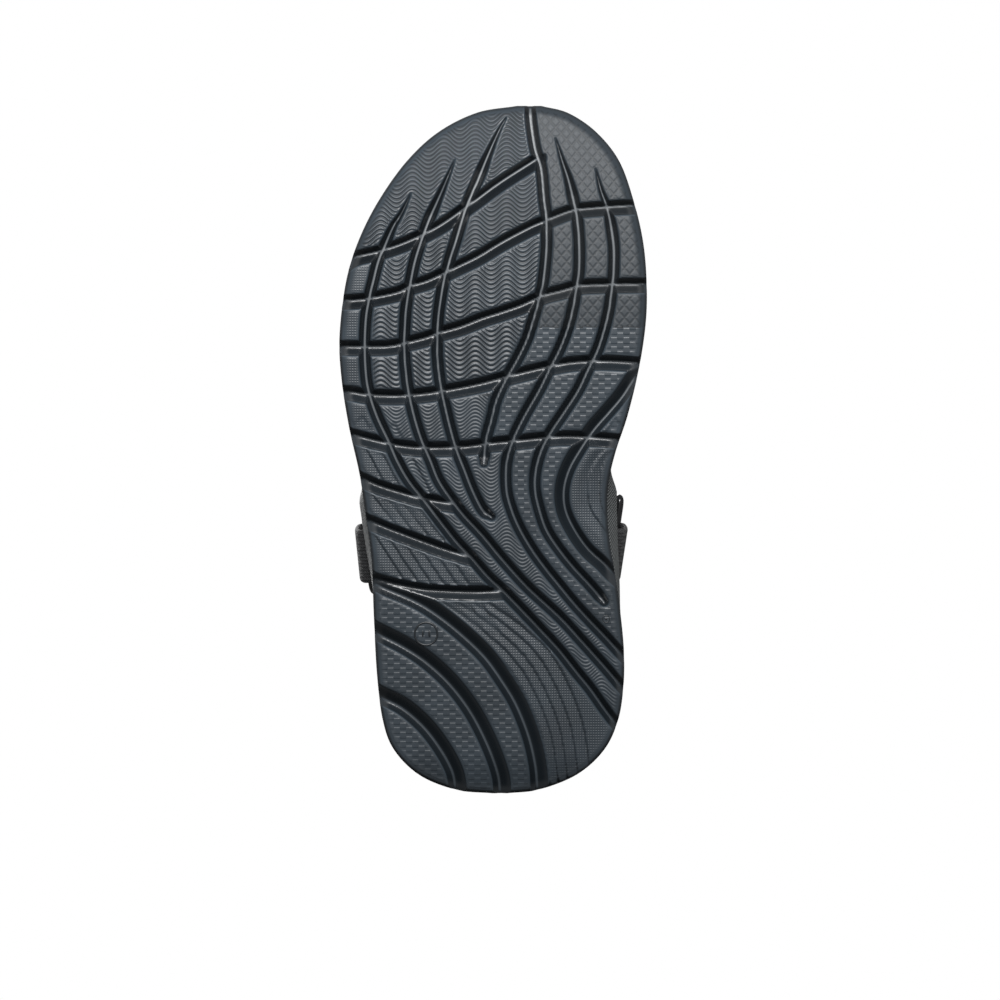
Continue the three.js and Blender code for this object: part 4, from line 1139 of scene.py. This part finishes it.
# ---------------------------------------------------------------- node helpers
class Tree:
    """A short way to write a node tree."""

    def __init__(self, tree):
        self.tree = tree

    def node(self, kind, **values):
        made = self.tree.nodes.new(kind)
        for key, value in values.items():
            setattr(made, key, value)
        return made

    def plug(self, value, socket):
        if isinstance(value, bpy.types.NodeSocket):
            self.tree.links.new(value, socket)
        else:
            socket.default_value = value

    def fill(self, node, **values):
        """Plugs values into a node's sockets by name, with an underscore for each space."""
        for name, value in values.items():
            self.plug(value, node.inputs[name.replace("_", " ")])

    def math(self, operation, a, b=0.0, c=0.0):
        made = self.node("ShaderNodeMath", operation=operation)
        for socket, value in zip(made.inputs, (a, b, c)):
            self.plug(value, socket)
        return made.outputs[0]

    def mapped(self, value, low, high, to_low=0.0, to_high=1.0, kind="SMOOTHSTEP"):
        made = self.node("ShaderNodeMapRange", interpolation_type=kind)
        for socket, number in zip(made.inputs, (value, low, high, to_low, to_high)):
            self.plug(number, socket)
        return made.outputs[0]

    def sine(self, value, pitch):
        return self.math("SINE", self.math("MULTIPLY", value, math.tau / pitch))

    def ridges(self, value, pitch=1.0):
        """A sine wave raised to run from 0 to 1."""
        return self.math("MULTIPLY_ADD", self.sine(value, pitch), 0.5, 0.5)

    def noise(self, vector, scale, detail, rough=0.5):
        made = self.node("ShaderNodeTexNoise")
        self.fill(made, Vector=vector, Scale=scale, Detail=detail, Roughness=rough)
        return made.outputs["Fac"]

    def place(self):
        """The object's own coordinates, in metres."""
        return self.node("ShaderNodeTexCoord").outputs["Object"]

    def stored(self, name):
        """A value kept at the mesh's corners."""
        return self.node("ShaderNodeAttribute", attribute_name=name).outputs["Fac"]

    def split(self, vector):
        made = self.node("ShaderNodeSeparateXYZ")
        self.plug(vector, made.inputs[0])
        return made.outputs

    def colours(self, factor, first, second):
        made = self.node("ShaderNodeMix", data_type="RGBA")
        self.plug(factor, made.inputs[0])
        self.plug(first, made.inputs[6])
        self.plug(second, made.inputs[7])
        return made.outputs[2]

    def bump(self, height, strength, distance, normal=None):
        made = self.node("ShaderNodeBump")
        self.fill(made, Strength=strength, Distance=distance, Height=height)
        if normal is not None:
            self.plug(normal, made.inputs["Normal"])
        return made.outputs[0]


def colour_of(piece):
    """The colour chosen for a piece in the add-on's settings."""
    return tuple(getattr(bpy.context.scene.sandal_colours, piece))


def tint(colour, share=1.0, lift=0.0):
    """The colour at a share of its brightness, lifted a little, with full alpha."""
    return (*(c * share + lift for c in colour), 1)


def new_material(name):
    """A node material: the material, a short way to write its tree, and its shader."""
    material = bpy.data.materials.new(name)
    material.use_nodes = True
    tree = Tree(material.node_tree)
    return material, tree, material.node_tree.nodes["Principled BSDF"]


def effect_group(name, inputs, outputs):
    """An empty node group with the named float or vector sockets."""
    group = bpy.data.node_groups.new(name, "ShaderNodeTree")
    for label, kind in inputs:
        group.interface.new_socket(label, in_out="INPUT", socket_type=kind)
    for label, kind in outputs:
        group.interface.new_socket(label, in_out="OUTPUT", socket_type=kind)
    tree = Tree(group)
    return group, tree, tree.node("NodeGroupInput"), tree.node("NodeGroupOutput")


def shared(t, name, build):
    """Places the effect of that name in a material, and builds its group the first time."""
    group = bpy.data.node_groups.get(name) or build(name)
    return t.node("ShaderNodeGroup", node_tree=group)


def grain_group(name):
    """Fine moulded grain and soft patches of colour, both 0 to 1."""
    group, t, source, sink = effect_group(
        name, [("Vector", "NodeSocketVector"), ("Grain scale", "NodeSocketFloat"),
               ("Patch scale", "NodeSocketFloat")],
        [("Grain", "NodeSocketFloat"), ("Patch", "NodeSocketFloat")])
    where = source.outputs["Vector"]
    t.plug(t.noise(where, source.outputs["Grain scale"], 3.0), sink.inputs["Grain"])
    t.plug(t.noise(where, source.outputs["Patch scale"], 3.0), sink.inputs["Patch"])
    return group


def moulded_grain(t, where, fine, patch):
    """Grain and patches in a material, at its own scales."""
    effect = shared(t, "Moulded grain", grain_group)
    t.fill(effect, Vector=where, Grain_scale=fine, Patch_scale=patch)
    return effect.outputs["Grain"], effect.outputs["Patch"]


def in_zone(t, zone, kind):
    """1 where the lug's texture is of that kind, and 0 elsewhere."""
    return t.math("COMPARE", zone, float(kind), 0.3)


def tread_group(name):
    """Height of the lugs' fine texture from the object's coordinates and the face's zone."""
    group, t, source, sink = effect_group(name, [("Vector", "NodeSocketVector"), ("Zone", "NodeSocketFloat")],
                                          [("Height", "NodeSocketFloat")])
    x, y, _ = t.split(source.outputs["Vector"])
    x = t.math("MULTIPLY", x, 1000.0)
    y = t.math("MULTIPLY", y, 1000.0)
    zone = source.outputs["Zone"]

    def plateau(phase):
        return t.mapped(t.math("ABSOLUTE", t.sine(phase, 2)), 0.05, 0.8)

    swing = t.math("MULTIPLY", t.sine(t.math("SUBTRACT", x, 2.2), 11.7), 1.75)
    widening = 0.0026
    pitch = t.math("MULTIPLY_ADD", t.math("ADD", t.math("ADD", y, swing), 118.0), widening, 1.58)
    waves = t.math("POWER", t.ridges(t.math("DIVIDE", t.math("LOGARITHM", pitch, math.e), widening)), 0.8)
    slant = t.math("DIVIDE", y, 4.6)
    across = t.math("DIVIDE", x, 3.9)
    diamonds = t.math("MULTIPLY_ADD", t.math("MINIMUM", plateau(t.math("ADD", across, slant)),
                                             plateau(t.math("SUBTRACT", across, slant))), 0.42, 0.16)
    row = t.math("DIVIDE", y, 1.7)
    shift = t.math("MULTIPLY", t.math("MODULO", t.math("FLOOR", row), 2.0), 0.5)
    dashes = t.math("MULTIPLY", t.math("POWER", t.ridges(t.math("ADD", row, 0.25)), 3.0),
                    t.mapped(t.ridges(t.math("ADD", t.math("DIVIDE", x, 4.6), shift)), 0.45, 0.6))
    dashes = t.math("MULTIPLY_ADD", dashes, 0.35, 0.4)
    dots = t.math("MULTIPLY", t.ridges(x, 0.95), t.ridges(y, 0.95))
    dots = t.math("MULTIPLY_ADD", dots, 0.36, 0.24)
    contours = t.math("MULTIPLY_ADD", t.ridges(t.math("ADD", y, swing), 1.35), 0.4, 0.24)
    total = t.math("MULTIPLY", waves, in_zone(t, zone, WAVES))
    for kind, height in ((DIAMONDS, diamonds), (DASHES, dashes), (DOTS, dots), (CONTOURS, contours)):
        total = t.math("MULTIPLY_ADD", height, in_zone(t, zone, kind), total)
    t.plug(total, sink.inputs["Height"])
    return group


# Colour of the painted highlight along the groove floors.
GROOVE_FLOOR_HIGHLIGHT = (0.075, 0.083, 0.09)


def rubber_material():
    """Moulded outsole rubber: slate, with fine texture on the lugs. Painted shade darkens the groove walls,
    the texture's troughs, the saw-tooth steps, the diamond lugs and the rim; a painted highlight lightens the
    groove floors and the lugs' edges.
    """
    material, t, shader = new_material("outsole_rubber")
    rubber = colour_of("rubber")
    where = t.place()
    y = t.split(where)[1]
    zone, clear, floor, amount, stripe, inside = (
        t.stored(name) for name in ("zone", "clear", "floor", "amount", "stripe", "inside"))
    effect = shared(t, "Tread texture", tread_group)
    t.fill(effect, Vector=where, Zone=zone)
    texture = effect.outputs["Height"]
    grain, patch = moulded_grain(t, where, 2600.0, 60.0)
    # Painted shade: the outsole's rim and side wall are painted dark.
    rim_shade = t.mapped(inside, 1.5, 0.5)
    # Painted shade: the diamond lugs are painted darker all over; they are also rougher.
    diamond = in_zone(t, zone, DIAMONDS)
    # The painted highlight on the groove floors fades from the toes towards the heel.
    highlight_fade = t.mapped(y, 0.05, -0.03, 0.12, 1.0)
    # Painted highlight: a light line along each groove's floor.
    floor_highlight = t.math("MULTIPLY", t.mapped(floor, 0.1, -0.12), highlight_fade)
    # Painted shade: the groove walls are painted dark; the same mask also makes them glossier.
    on_wall = t.math("MULTIPLY", t.mapped(clear, 0.1, -0.25), t.mapped(floor, -0.1, 0.2))
    # Painted highlight: a light line along the lugs' edges.
    lip = t.math("MULTIPLY", t.mapped(clear, -0.4, 0.0), t.mapped(clear, 0.4, 0.05))
    # Painted shade: a dark line at each saw-tooth step.
    step = t.math("MULTIPLY", t.mapped(stripe, 0.14, 0.02), t.mapped(clear, 0.0, 0.4))
    # Painted shade: the fine texture's troughs are painted dark.
    trough_shade = t.math("MULTIPLY", t.mapped(texture, 0.34, 0.0), amount)
    # Painted light: the walls' painted shade is lighter towards the waist.
    wall_shade_fade = t.mapped(y, -0.045, -0.03, 1.0, 0.8)
    tone = t.colours(t.mapped(patch, 0.3, 0.7), tint(rubber, 0.85), tint(rubber, 1.18))
    # Painted shade and highlight laid in turn over the rubber's own patches: diamond lugs, troughs, walls,
    # lug edges and steps.
    for where_shown, share in (
            (diamond, 0.72), (t.math("MULTIPLY", trough_shade, 0.9), 0.15),
            (t.math("MULTIPLY", on_wall, wall_shade_fade), 0.25), (t.math("MULTIPLY", lip, 0.24), 3.0),
            (t.math("MULTIPLY", step, 0.75), 0.2)):
        tone = t.colours(where_shown, tone, tint(rubber, share))
    tone = t.colours(floor_highlight, tone, tint(GROOVE_FLOOR_HIGHLIGHT))
    tone = t.colours(rim_shade, tone, tint(rubber, 0.45))
    rough = t.math("MULTIPLY_ADD", on_wall, -0.16, t.mapped(grain, 0.2, 0.8, 0.42, 0.5))
    rough = t.math("MULTIPLY_ADD", t.mapped(inside, 4.0, 1.0), 0.6, rough)
    rough = t.math("MULTIPLY_ADD", diamond, 0.14, rough)
    fine = t.bump(grain, 0.12, 0.0001)
    rounded = t.bump(t.mapped(clear, -0.5, 0.4), 0.7, 0.0005, fine)
    relief = t.bump(t.math("MULTIPLY", texture, amount), 1.0, 0.0003, rounded)
    t.fill(shader, Base_Color=tone, Roughness=rough, Normal=relief)
    return material


def mark_material():
    """The outsole's rubber where the mould's marks are smooth, painted darker than the rubber round them as
    painted shade.
    """
    material, t, shader = new_material("outsole_mark")
    rubber = colour_of("rubber")
    grain, _ = moulded_grain(t, t.place(), 2600.0, 60.0)
    # Painted shade: the marks are painted at a fifth to a half of the rubber's colour.
    t.fill(shader, Base_Color=t.colours(grain, tint(rubber, 0.2), tint(rubber, 0.5)),
           Roughness=t.mapped(grain, 0.2, 0.8, 0.36, 0.48), Normal=t.bump(grain, 0.15, 0.0001))
    return material


def place_group(name):
    """Place along and across a band, in millimetres, from its stored attributes."""
    group, t, _, sink = effect_group(name, [], [("Run", "NodeSocketFloat"), ("Side", "NodeSocketFloat")])
    for attribute, label in (("run", "Run"), ("side", "Side")):
        t.plug(t.math("MULTIPLY", t.stored(attribute), 1000.0), sink.inputs[label])
    return group


def band_place(t):
    """Place along and across a band in a material, in millimetres."""
    effect = shared(t, "Band place", place_group)
    return effect.outputs["Run"], effect.outputs["Side"]


def weave_group(name):
    """Diagonal weave: thread height from the place along and across a band in millimetres."""
    group, t, source, sink = effect_group(
        name, [("Run", "NodeSocketFloat"), ("Side", "NodeSocketFloat"), ("Pitch", "NodeSocketFloat")],
        [("Height", "NodeSocketFloat")])
    run, side, pitch = (source.outputs[n] for n in ("Run", "Side", "Pitch"))
    column = t.math("DIVIDE", side, pitch)
    index = t.math("FLOOR", column)
    thread = t.sine(t.math("FRACT", column), 2)
    flip = t.math("MULTIPLY", t.math("MODULO", t.math("ABSOLUTE", index), 2.0), 2.0)
    slope = t.math("MULTIPLY", t.math("SUBTRACT", 1.0, flip), t.math("MULTIPLY", side, 0.9))
    row = t.math("DIVIDE", t.math("ADD", run, slope), t.math("MULTIPLY", pitch, 0.62))
    weft = t.ridges(row)
    t.plug(t.math("MULTIPLY", t.math("POWER", thread, 0.6), t.math("MULTIPLY_ADD", weft, 0.7, 0.3)),
           sink.inputs["Height"])
    return group


def webbing_material():
    """Polyester webbing: woven threads with a soft sheen, painted shade between the threads, and a little
    lint.
    """
    material, t, shader = new_material("webbing")
    run, side = band_place(t)
    weave = shared(t, "Webbing weave", weave_group)
    t.fill(weave, Run=run, Side=side, Pitch=1.25)
    height = weave.outputs["Height"]
    colour = colour_of("webbing")
    # Painted shade and highlight: the threads' crowns are painted light and the gaps between them dark.
    threads = t.colours(height, tint(colour, 0.45), tint(colour, 1.7, 0.004))
    lint = t.mapped(t.noise(t.place(), 900.0, 3.0), 0.55, 0.8, 0, 0.35)
    t.fill(shader, Base_Color=t.colours(lint, threads, tint(colour, 2.6, 0.01)),
           Roughness=t.mapped(height, 0, 1, 0.85, 0.62), Sheen_Weight=0.12, Sheen_Roughness=0.5,
           Normal=t.bump(height, 0.9, 0.00035))
    return material


def thread_material():
    """Grey sewing thread with a fine twist."""
    material, t, shader = new_material("thread")
    twist = t.noise(t.place(), 3000.0, 2.0)
    t.fill(shader, Base_Color=t.colours(twist, (0.03, 0.032, 0.035, 1), (0.085, 0.09, 0.095, 1)),
           Roughness=0.55, Normal=t.bump(twist, 0.5, 0.0001))
    return material


def tape_material(name, colour, hooks):
    """Hook tape has rows of short hooks; loop tape has a napped pile."""
    material, t, shader = new_material(name)
    nap = t.noise(t.place(), 2200.0 if hooks else 1300.0, 4.0, 0.7)
    if hooks:
        run, side = band_place(t)
        rows = t.math("MULTIPLY", t.sine(run, 1.3), t.sine(side, 1.6))
        nap = t.math("MULTIPLY_ADD", t.math("ABSOLUTE", rows), 0.8, t.math("MULTIPLY", nap, 0.2))
    # Hook tape's rows are painted light and the gaps between them dark, as painted highlight and shade; loop
    # tape's nap is its own tone.
    t.fill(shader, Base_Color=t.colours(nap, tint(colour, 0.5), tint(colour, 2.2)),
           Roughness=0.5 if hooks else 0.95, Sheen_Weight=0.0 if hooks else 0.5,
           Normal=t.bump(nap, 1.0, 0.0004))
    return material


def lining_material():
    """Knitted spacer mesh over foam: small open cells in staggered rows, painted dark as painted shade."""
    material, t, shader = new_material("lining")
    colour = colour_of("lining")
    run, side = band_place(t)
    row = t.math("DIVIDE", run, 1.15)
    shift = t.math("MULTIPLY", t.math("MODULO", t.math("ABSOLUTE", t.math("FLOOR", row)), 2.0), math.pi)
    column = t.math("ADD", t.math("MULTIPLY", side, math.pi / 1.3), t.math("MULTIPLY", shift, 0.5))
    cell = t.math("MULTIPLY", t.sine(t.math("FRACT", row), 2),
                  t.math("ABSOLUTE", t.math("SINE", column)))
    hole = t.mapped(cell, 0.35, 0.8)
    # Painted shade: the open cells are painted dark.
    t.fill(shader, Base_Color=t.colours(hole, tint(colour), tint(colour, 0.25)), Roughness=0.9,
           Sheen_Weight=0.3, Normal=t.bump(t.math("SUBTRACT", 1.0, hole), 0.9, 0.0004))
    return material


def plastic_material():
    """Moulded ring plastic: glossy black with faint flow marks."""
    material, t, shader = new_material("ring_plastic")
    fine, flow = moulded_grain(t, t.place(), 1800.0, 140.0)
    t.fill(shader, Base_Color=t.colours(flow, (0.010, 0.010, 0.011, 1), (0.022, 0.023, 0.025, 1)),
           Roughness=t.mapped(fine, 0.3, 0.7, 0.2, 0.34), Coat_Weight=0.3,
           Normal=t.bump(flow, 0.12, 0.0003))
    return material


def foam_material():
    """Midsole foam: slanted ribs all round its side wall, with painted highlight and shade on them, and a
    fine moulded grain.
    """
    material, t, shader = new_material("midsole_foam")
    colour = colour_of("foam")
    where = t.place()
    _, y, z = t.split(where)
    rib = t.ridges(t.math("ADD", y, t.math("MULTIPLY", z, 0.58)), 0.00125)
    grain, patch = moulded_grain(t, where, 1500.0, 45.0)
    # Painted highlight and shade: the ribs' crests are painted light and their hollows dark, mixed with the
    # foam's own patches.
    tone = t.math("MULTIPLY_ADD", rib, 0.75, t.math("MULTIPLY", patch, 0.25))
    t.fill(shader, Base_Color=t.colours(tone, tint(colour, 0.4), tint(colour, 1.75)),
           Roughness=t.mapped(grain, 0.3, 0.7, 0.5, 0.68),
           Normal=t.bump(rib, 0.8, 0.0004, t.bump(grain, 0.2, 0.0001)))
    return material


def footbed_material():
    """Soft footbed foam with shallow embossed waves and a fine grain."""
    material, t, shader = new_material("footbed_foam")
    colour = colour_of("footbed")
    where = t.place()
    x, y, _ = t.split(where)
    wave = t.ridges(t.math("ADD", y, t.math("MULTIPLY", t.sine(x, 0.022), 0.0022)), 0.0042)
    grain, patch = moulded_grain(t, where, 1100.0, 30.0)
    facing = t.split(t.node("ShaderNodeNewGeometry").outputs["Normal"])[2]
    wave = t.math("MULTIPLY", t.mapped(wave, 0.15, 0.6), t.mapped(facing, 0.6, 0.95))
    t.fill(shader, Base_Color=t.colours(patch, tint(colour, 0.8), tint(colour, 1.3)),
           Roughness=t.mapped(grain, 0.3, 0.7, 0.7, 0.88),
           Normal=t.bump(wave, 0.8, 0.0005, t.bump(grain, 0.35, 0.00015)))
    return material


LOOKS = {
    "outsole_rubber": rubber_material,
    "outsole_mark": mark_material,
    "webbing": webbing_material,
    "loop_tape": lambda: tape_material("loop_tape", (0.02, 0.02, 0.022), False),
    "hook_tape": lambda: tape_material("hook_tape", (0.015, 0.015, 0.016), True),
    "lining": lining_material,
    "ring_plastic": plastic_material,
    "midsole_foam": foam_material,
    "footbed_foam": footbed_material,
    "thread": thread_material,
}
FINISHED = {}


def look(name):
    """The material of that name, made the first time it is asked for."""
    if name not in FINISHED:
        FINISHED[name] = LOOKS[name]()
    return FINISHED[name]


# ---------------------------------------------------------------- stage
CAMERA_AIM, CAMERA_AWAY = (0.0026, 0.0191, 0.0), 2.0
PICTURE_WIDTH, SENSOR_WIDTH = 0.3705, 36.0
# The floor lies this far under the lugs, so that it doesn't share their plane.
FLOOR_DROP = 0.0003


def build_camera():
    """Looks straight up at the underside, with the toes at the top of the picture."""
    data = bpy.data.cameras.new("camera")
    data.sensor_width = SENSOR_WIDTH
    data.lens = SENSOR_WIDTH * CAMERA_AWAY / PICTURE_WIDTH
    data.clip_end = 10.0
    camera = bpy.data.objects.new("camera", data)
    bpy.context.scene.collection.objects.link(camera)
    right, up, back = Vector((1, 0, 0)), Vector((0, -1, 0)), Vector((0, 0, -1))
    turn = Matrix((right, up, back)).transposed().to_4x4()
    camera.matrix_world = Matrix.Translation(Vector(CAMERA_AIM) + back * CAMERA_AWAY) @ turn
    bpy.context.scene.camera = camera


def build_world():
    """White to the camera, and dim as a light."""
    world = bpy.data.worlds.new("studio")
    bpy.context.scene.world = world
    world.use_nodes = True
    t = Tree(world.node_tree)
    backdrop = world.node_tree.nodes["Background"]
    backdrop.inputs["Color"].default_value = (1, 1, 1, 1)
    seen = t.node("ShaderNodeLightPath").outputs["Is Camera Ray"]
    t.plug(t.mapped(seen, 0.0, 1.0, 0.17, 1.0, "LINEAR"), backdrop.inputs["Strength"])


def build_light(name, spot, aim, size, power):
    """A soft rectangular light at spot, turned towards aim."""
    data = bpy.data.lights.new(name, "AREA")
    data.shape = "RECTANGLE"
    data.size, data.size_y = size
    data.energy = power
    light = bpy.data.objects.new(name, data)
    bpy.context.scene.collection.objects.link(light)
    light.location = spot
    light.rotation_euler = (Vector(aim) - Vector(spot)).to_track_quat("-Z", "Y").to_euler()


def build_floor():
    """A pale floor that is clear from below and takes no light from the underside."""
    bm = bmesh.new()
    bmesh.ops.create_grid(bm, x_segments=1, y_segments=1, size=2.0)
    bmesh.ops.translate(bm, verts=bm.verts, vec=(0, 0, -FLOOR_DROP))
    floor = finish_mesh(bm, "floor", scale=1.0)
    floor.visible_diffuse = False
    floor.visible_glossy = False
    floor.visible_transmission = False
    floor.visible_shadow = False
    material, t, shader = new_material("floor")
    t.fill(shader, Base_Color=(0.85, 0.85, 0.85, 1), Roughness=0.8)
    behind = t.node("ShaderNodeNewGeometry").outputs["Backfacing"]
    clear = t.node("ShaderNodeBsdfTransparent").outputs[0]
    pick = t.node("ShaderNodeMixShader")
    for socket, value in zip(pick.inputs, (behind, shader.outputs[0], clear)):
        t.plug(value, socket)
    t.plug(pick.outputs[0], material.node_tree.nodes["Material Output"].inputs["Surface"])
    floor.data.materials.append(material)


class SANDAL_OT_stage(bpy.types.Operator):
    """Build the camera, lights, backdrop and floor"""
    bl_idname = "sandal.stage"
    bl_label = "Build stage"

    def execute(self, context):
        context.scene.view_settings.view_transform = "Standard"
        build_camera()
        build_world()
        build_light("toe_light", spot=(0.0, -0.5, -0.55), aim=(0, -0.08, 0), size=(0.5, 0.22), power=10.4)
        build_light("fill_light", spot=(0.3, -0.1, -1.6), aim=(0, 0, 0), size=(1.0, 1.0), power=0.8)
        build_light("upper_light", spot=(-0.5, -0.6, 1.3), aim=(0, 0, 0), size=(1.0, 1.0), power=27)
        build_floor()
        return {"FINISHED"}


class SANDAL_OT_outsole(bpy.types.Operator):
    """Build the outsole with its tread and its moulded marks"""
    bl_idname = "sandal.outsole"
    bl_label = "Build outsole"

    def execute(self, context):
        build_outsole()
        return {"FINISHED"}


class SANDAL_OT_midsole(bpy.types.Operator):
    """Build the midsole with its slots for the webbing"""
    bl_idname = "sandal.midsole"
    bl_label = "Build midsole"

    def execute(self, context):
        dress(build_midsole(strap_anchors()), "sandal", "midsole_foam", "midsole_foam", "midsole")
        return {"FINISHED"}


class SANDAL_OT_footbed(bpy.types.Operator):
    """Build the footbed with its notches for the webbing"""
    bl_idname = "sandal.footbed"
    bl_label = "Build footbed"

    def execute(self, context):
        dress(build_footbed(strap_anchors()), "sandal", "footbed_foam", "footbed_foam", "footbed")
        return {"FINISHED"}


class SANDAL_OT_rings(bpy.types.Operator):
    """Build the side rings and the webbing tabs that hold them"""
    bl_idname = "sandal.rings"
    bl_label = "Build rings"

    def execute(self, context):
        for ring in side_rings():
            dress(build_ring(ring), "sandal", "ring_plastic", "ring_plastic", f"ring_{ring.side}")
            build_tab(ring)
        return {"FINISHED"}


class SANDAL_OT_toe_strap(bpy.types.Operator):
    """Build the toe strap with its flap, tapes, padding and thread"""
    bl_idname = "sandal.toe_strap"
    bl_label = "Build toe strap"

    def execute(self, context):
        build_toe()
        return {"FINISHED"}


class SANDAL_OT_instep_strap(bpy.types.Operator):
    """Build the instep strap with its flap, tapes, padding and thread"""
    bl_idname = "sandal.instep_strap"
    bl_label = "Build instep strap"

    def execute(self, context):
        bars = ring_bars(0, INSTEP_SHIFT)
        route = ringed_route(*bars, instep_middle(*bars), 1)
        build_ringed("instep", route, INSTEP_WIDTH, at_end=True, flap_length=62, pad_from=19,
                     pad_width=INSTEP_PAD)
        return {"FINISHED"}


class SANDAL_OT_heel_strap(bpy.types.Operator):
    """Build the heel strap with its flap, tapes, padding and thread"""
    bl_idname = "sandal.heel_strap"
    bl_label = "Build heel strap"

    def execute(self, context):
        bars = ring_bars(1, 0)
        route = ringed_route(*bars, heel_middle(*bars), -1)
        build_ringed("heel", route, HEEL_WIDTH, at_end=False, flap_length=50, pad_from=38,
                     pad_width=HEEL_PAD)
        return {"FINISHED"}


class SANDAL_PT_panel(bpy.types.Panel):
    """Sandal tools"""
    bl_label = "Sandal"
    bl_idname = "SANDAL_PT_panel"
    bl_space_type = "VIEW_3D"
    bl_region_type = "UI"
    bl_category = "Sandal"

    def draw(self, context):
        for operator in OPERATORS:
            self.layout.operator(operator.bl_idname)


OPERATORS = [SANDAL_OT_stage, SANDAL_OT_outsole, SANDAL_OT_midsole, SANDAL_OT_footbed, SANDAL_OT_rings,
             SANDAL_OT_toe_strap, SANDAL_OT_instep_strap, SANDAL_OT_heel_strap]
CLASSES = [SandalSole, SandalColours, *OPERATORS, SANDAL_PT_panel]


def register():
    for cls in CLASSES:
        bpy.utils.register_class(cls)
    bpy.types.Scene.sandal_sole = PointerProperty(type=SandalSole)
    bpy.types.Scene.sandal_colours = PointerProperty(type=SandalColours)


def unregister():
    del bpy.types.Scene.sandal_colours
    del bpy.types.Scene.sandal_sole
    for cls in reversed(CLASSES):
        bpy.utils.unregister_class(cls)


def main():
    register()
    bpy.ops.sandal.stage()
    bpy.ops.sandal.outsole()
    bpy.ops.sandal.midsole()
    bpy.ops.sandal.footbed()
    bpy.ops.sandal.rings()
    bpy.ops.sandal.toe_strap()
    bpy.ops.sandal.instep_strap()
    bpy.ops.sandal.heel_strap()


if __name__ == "__main__":
    main()
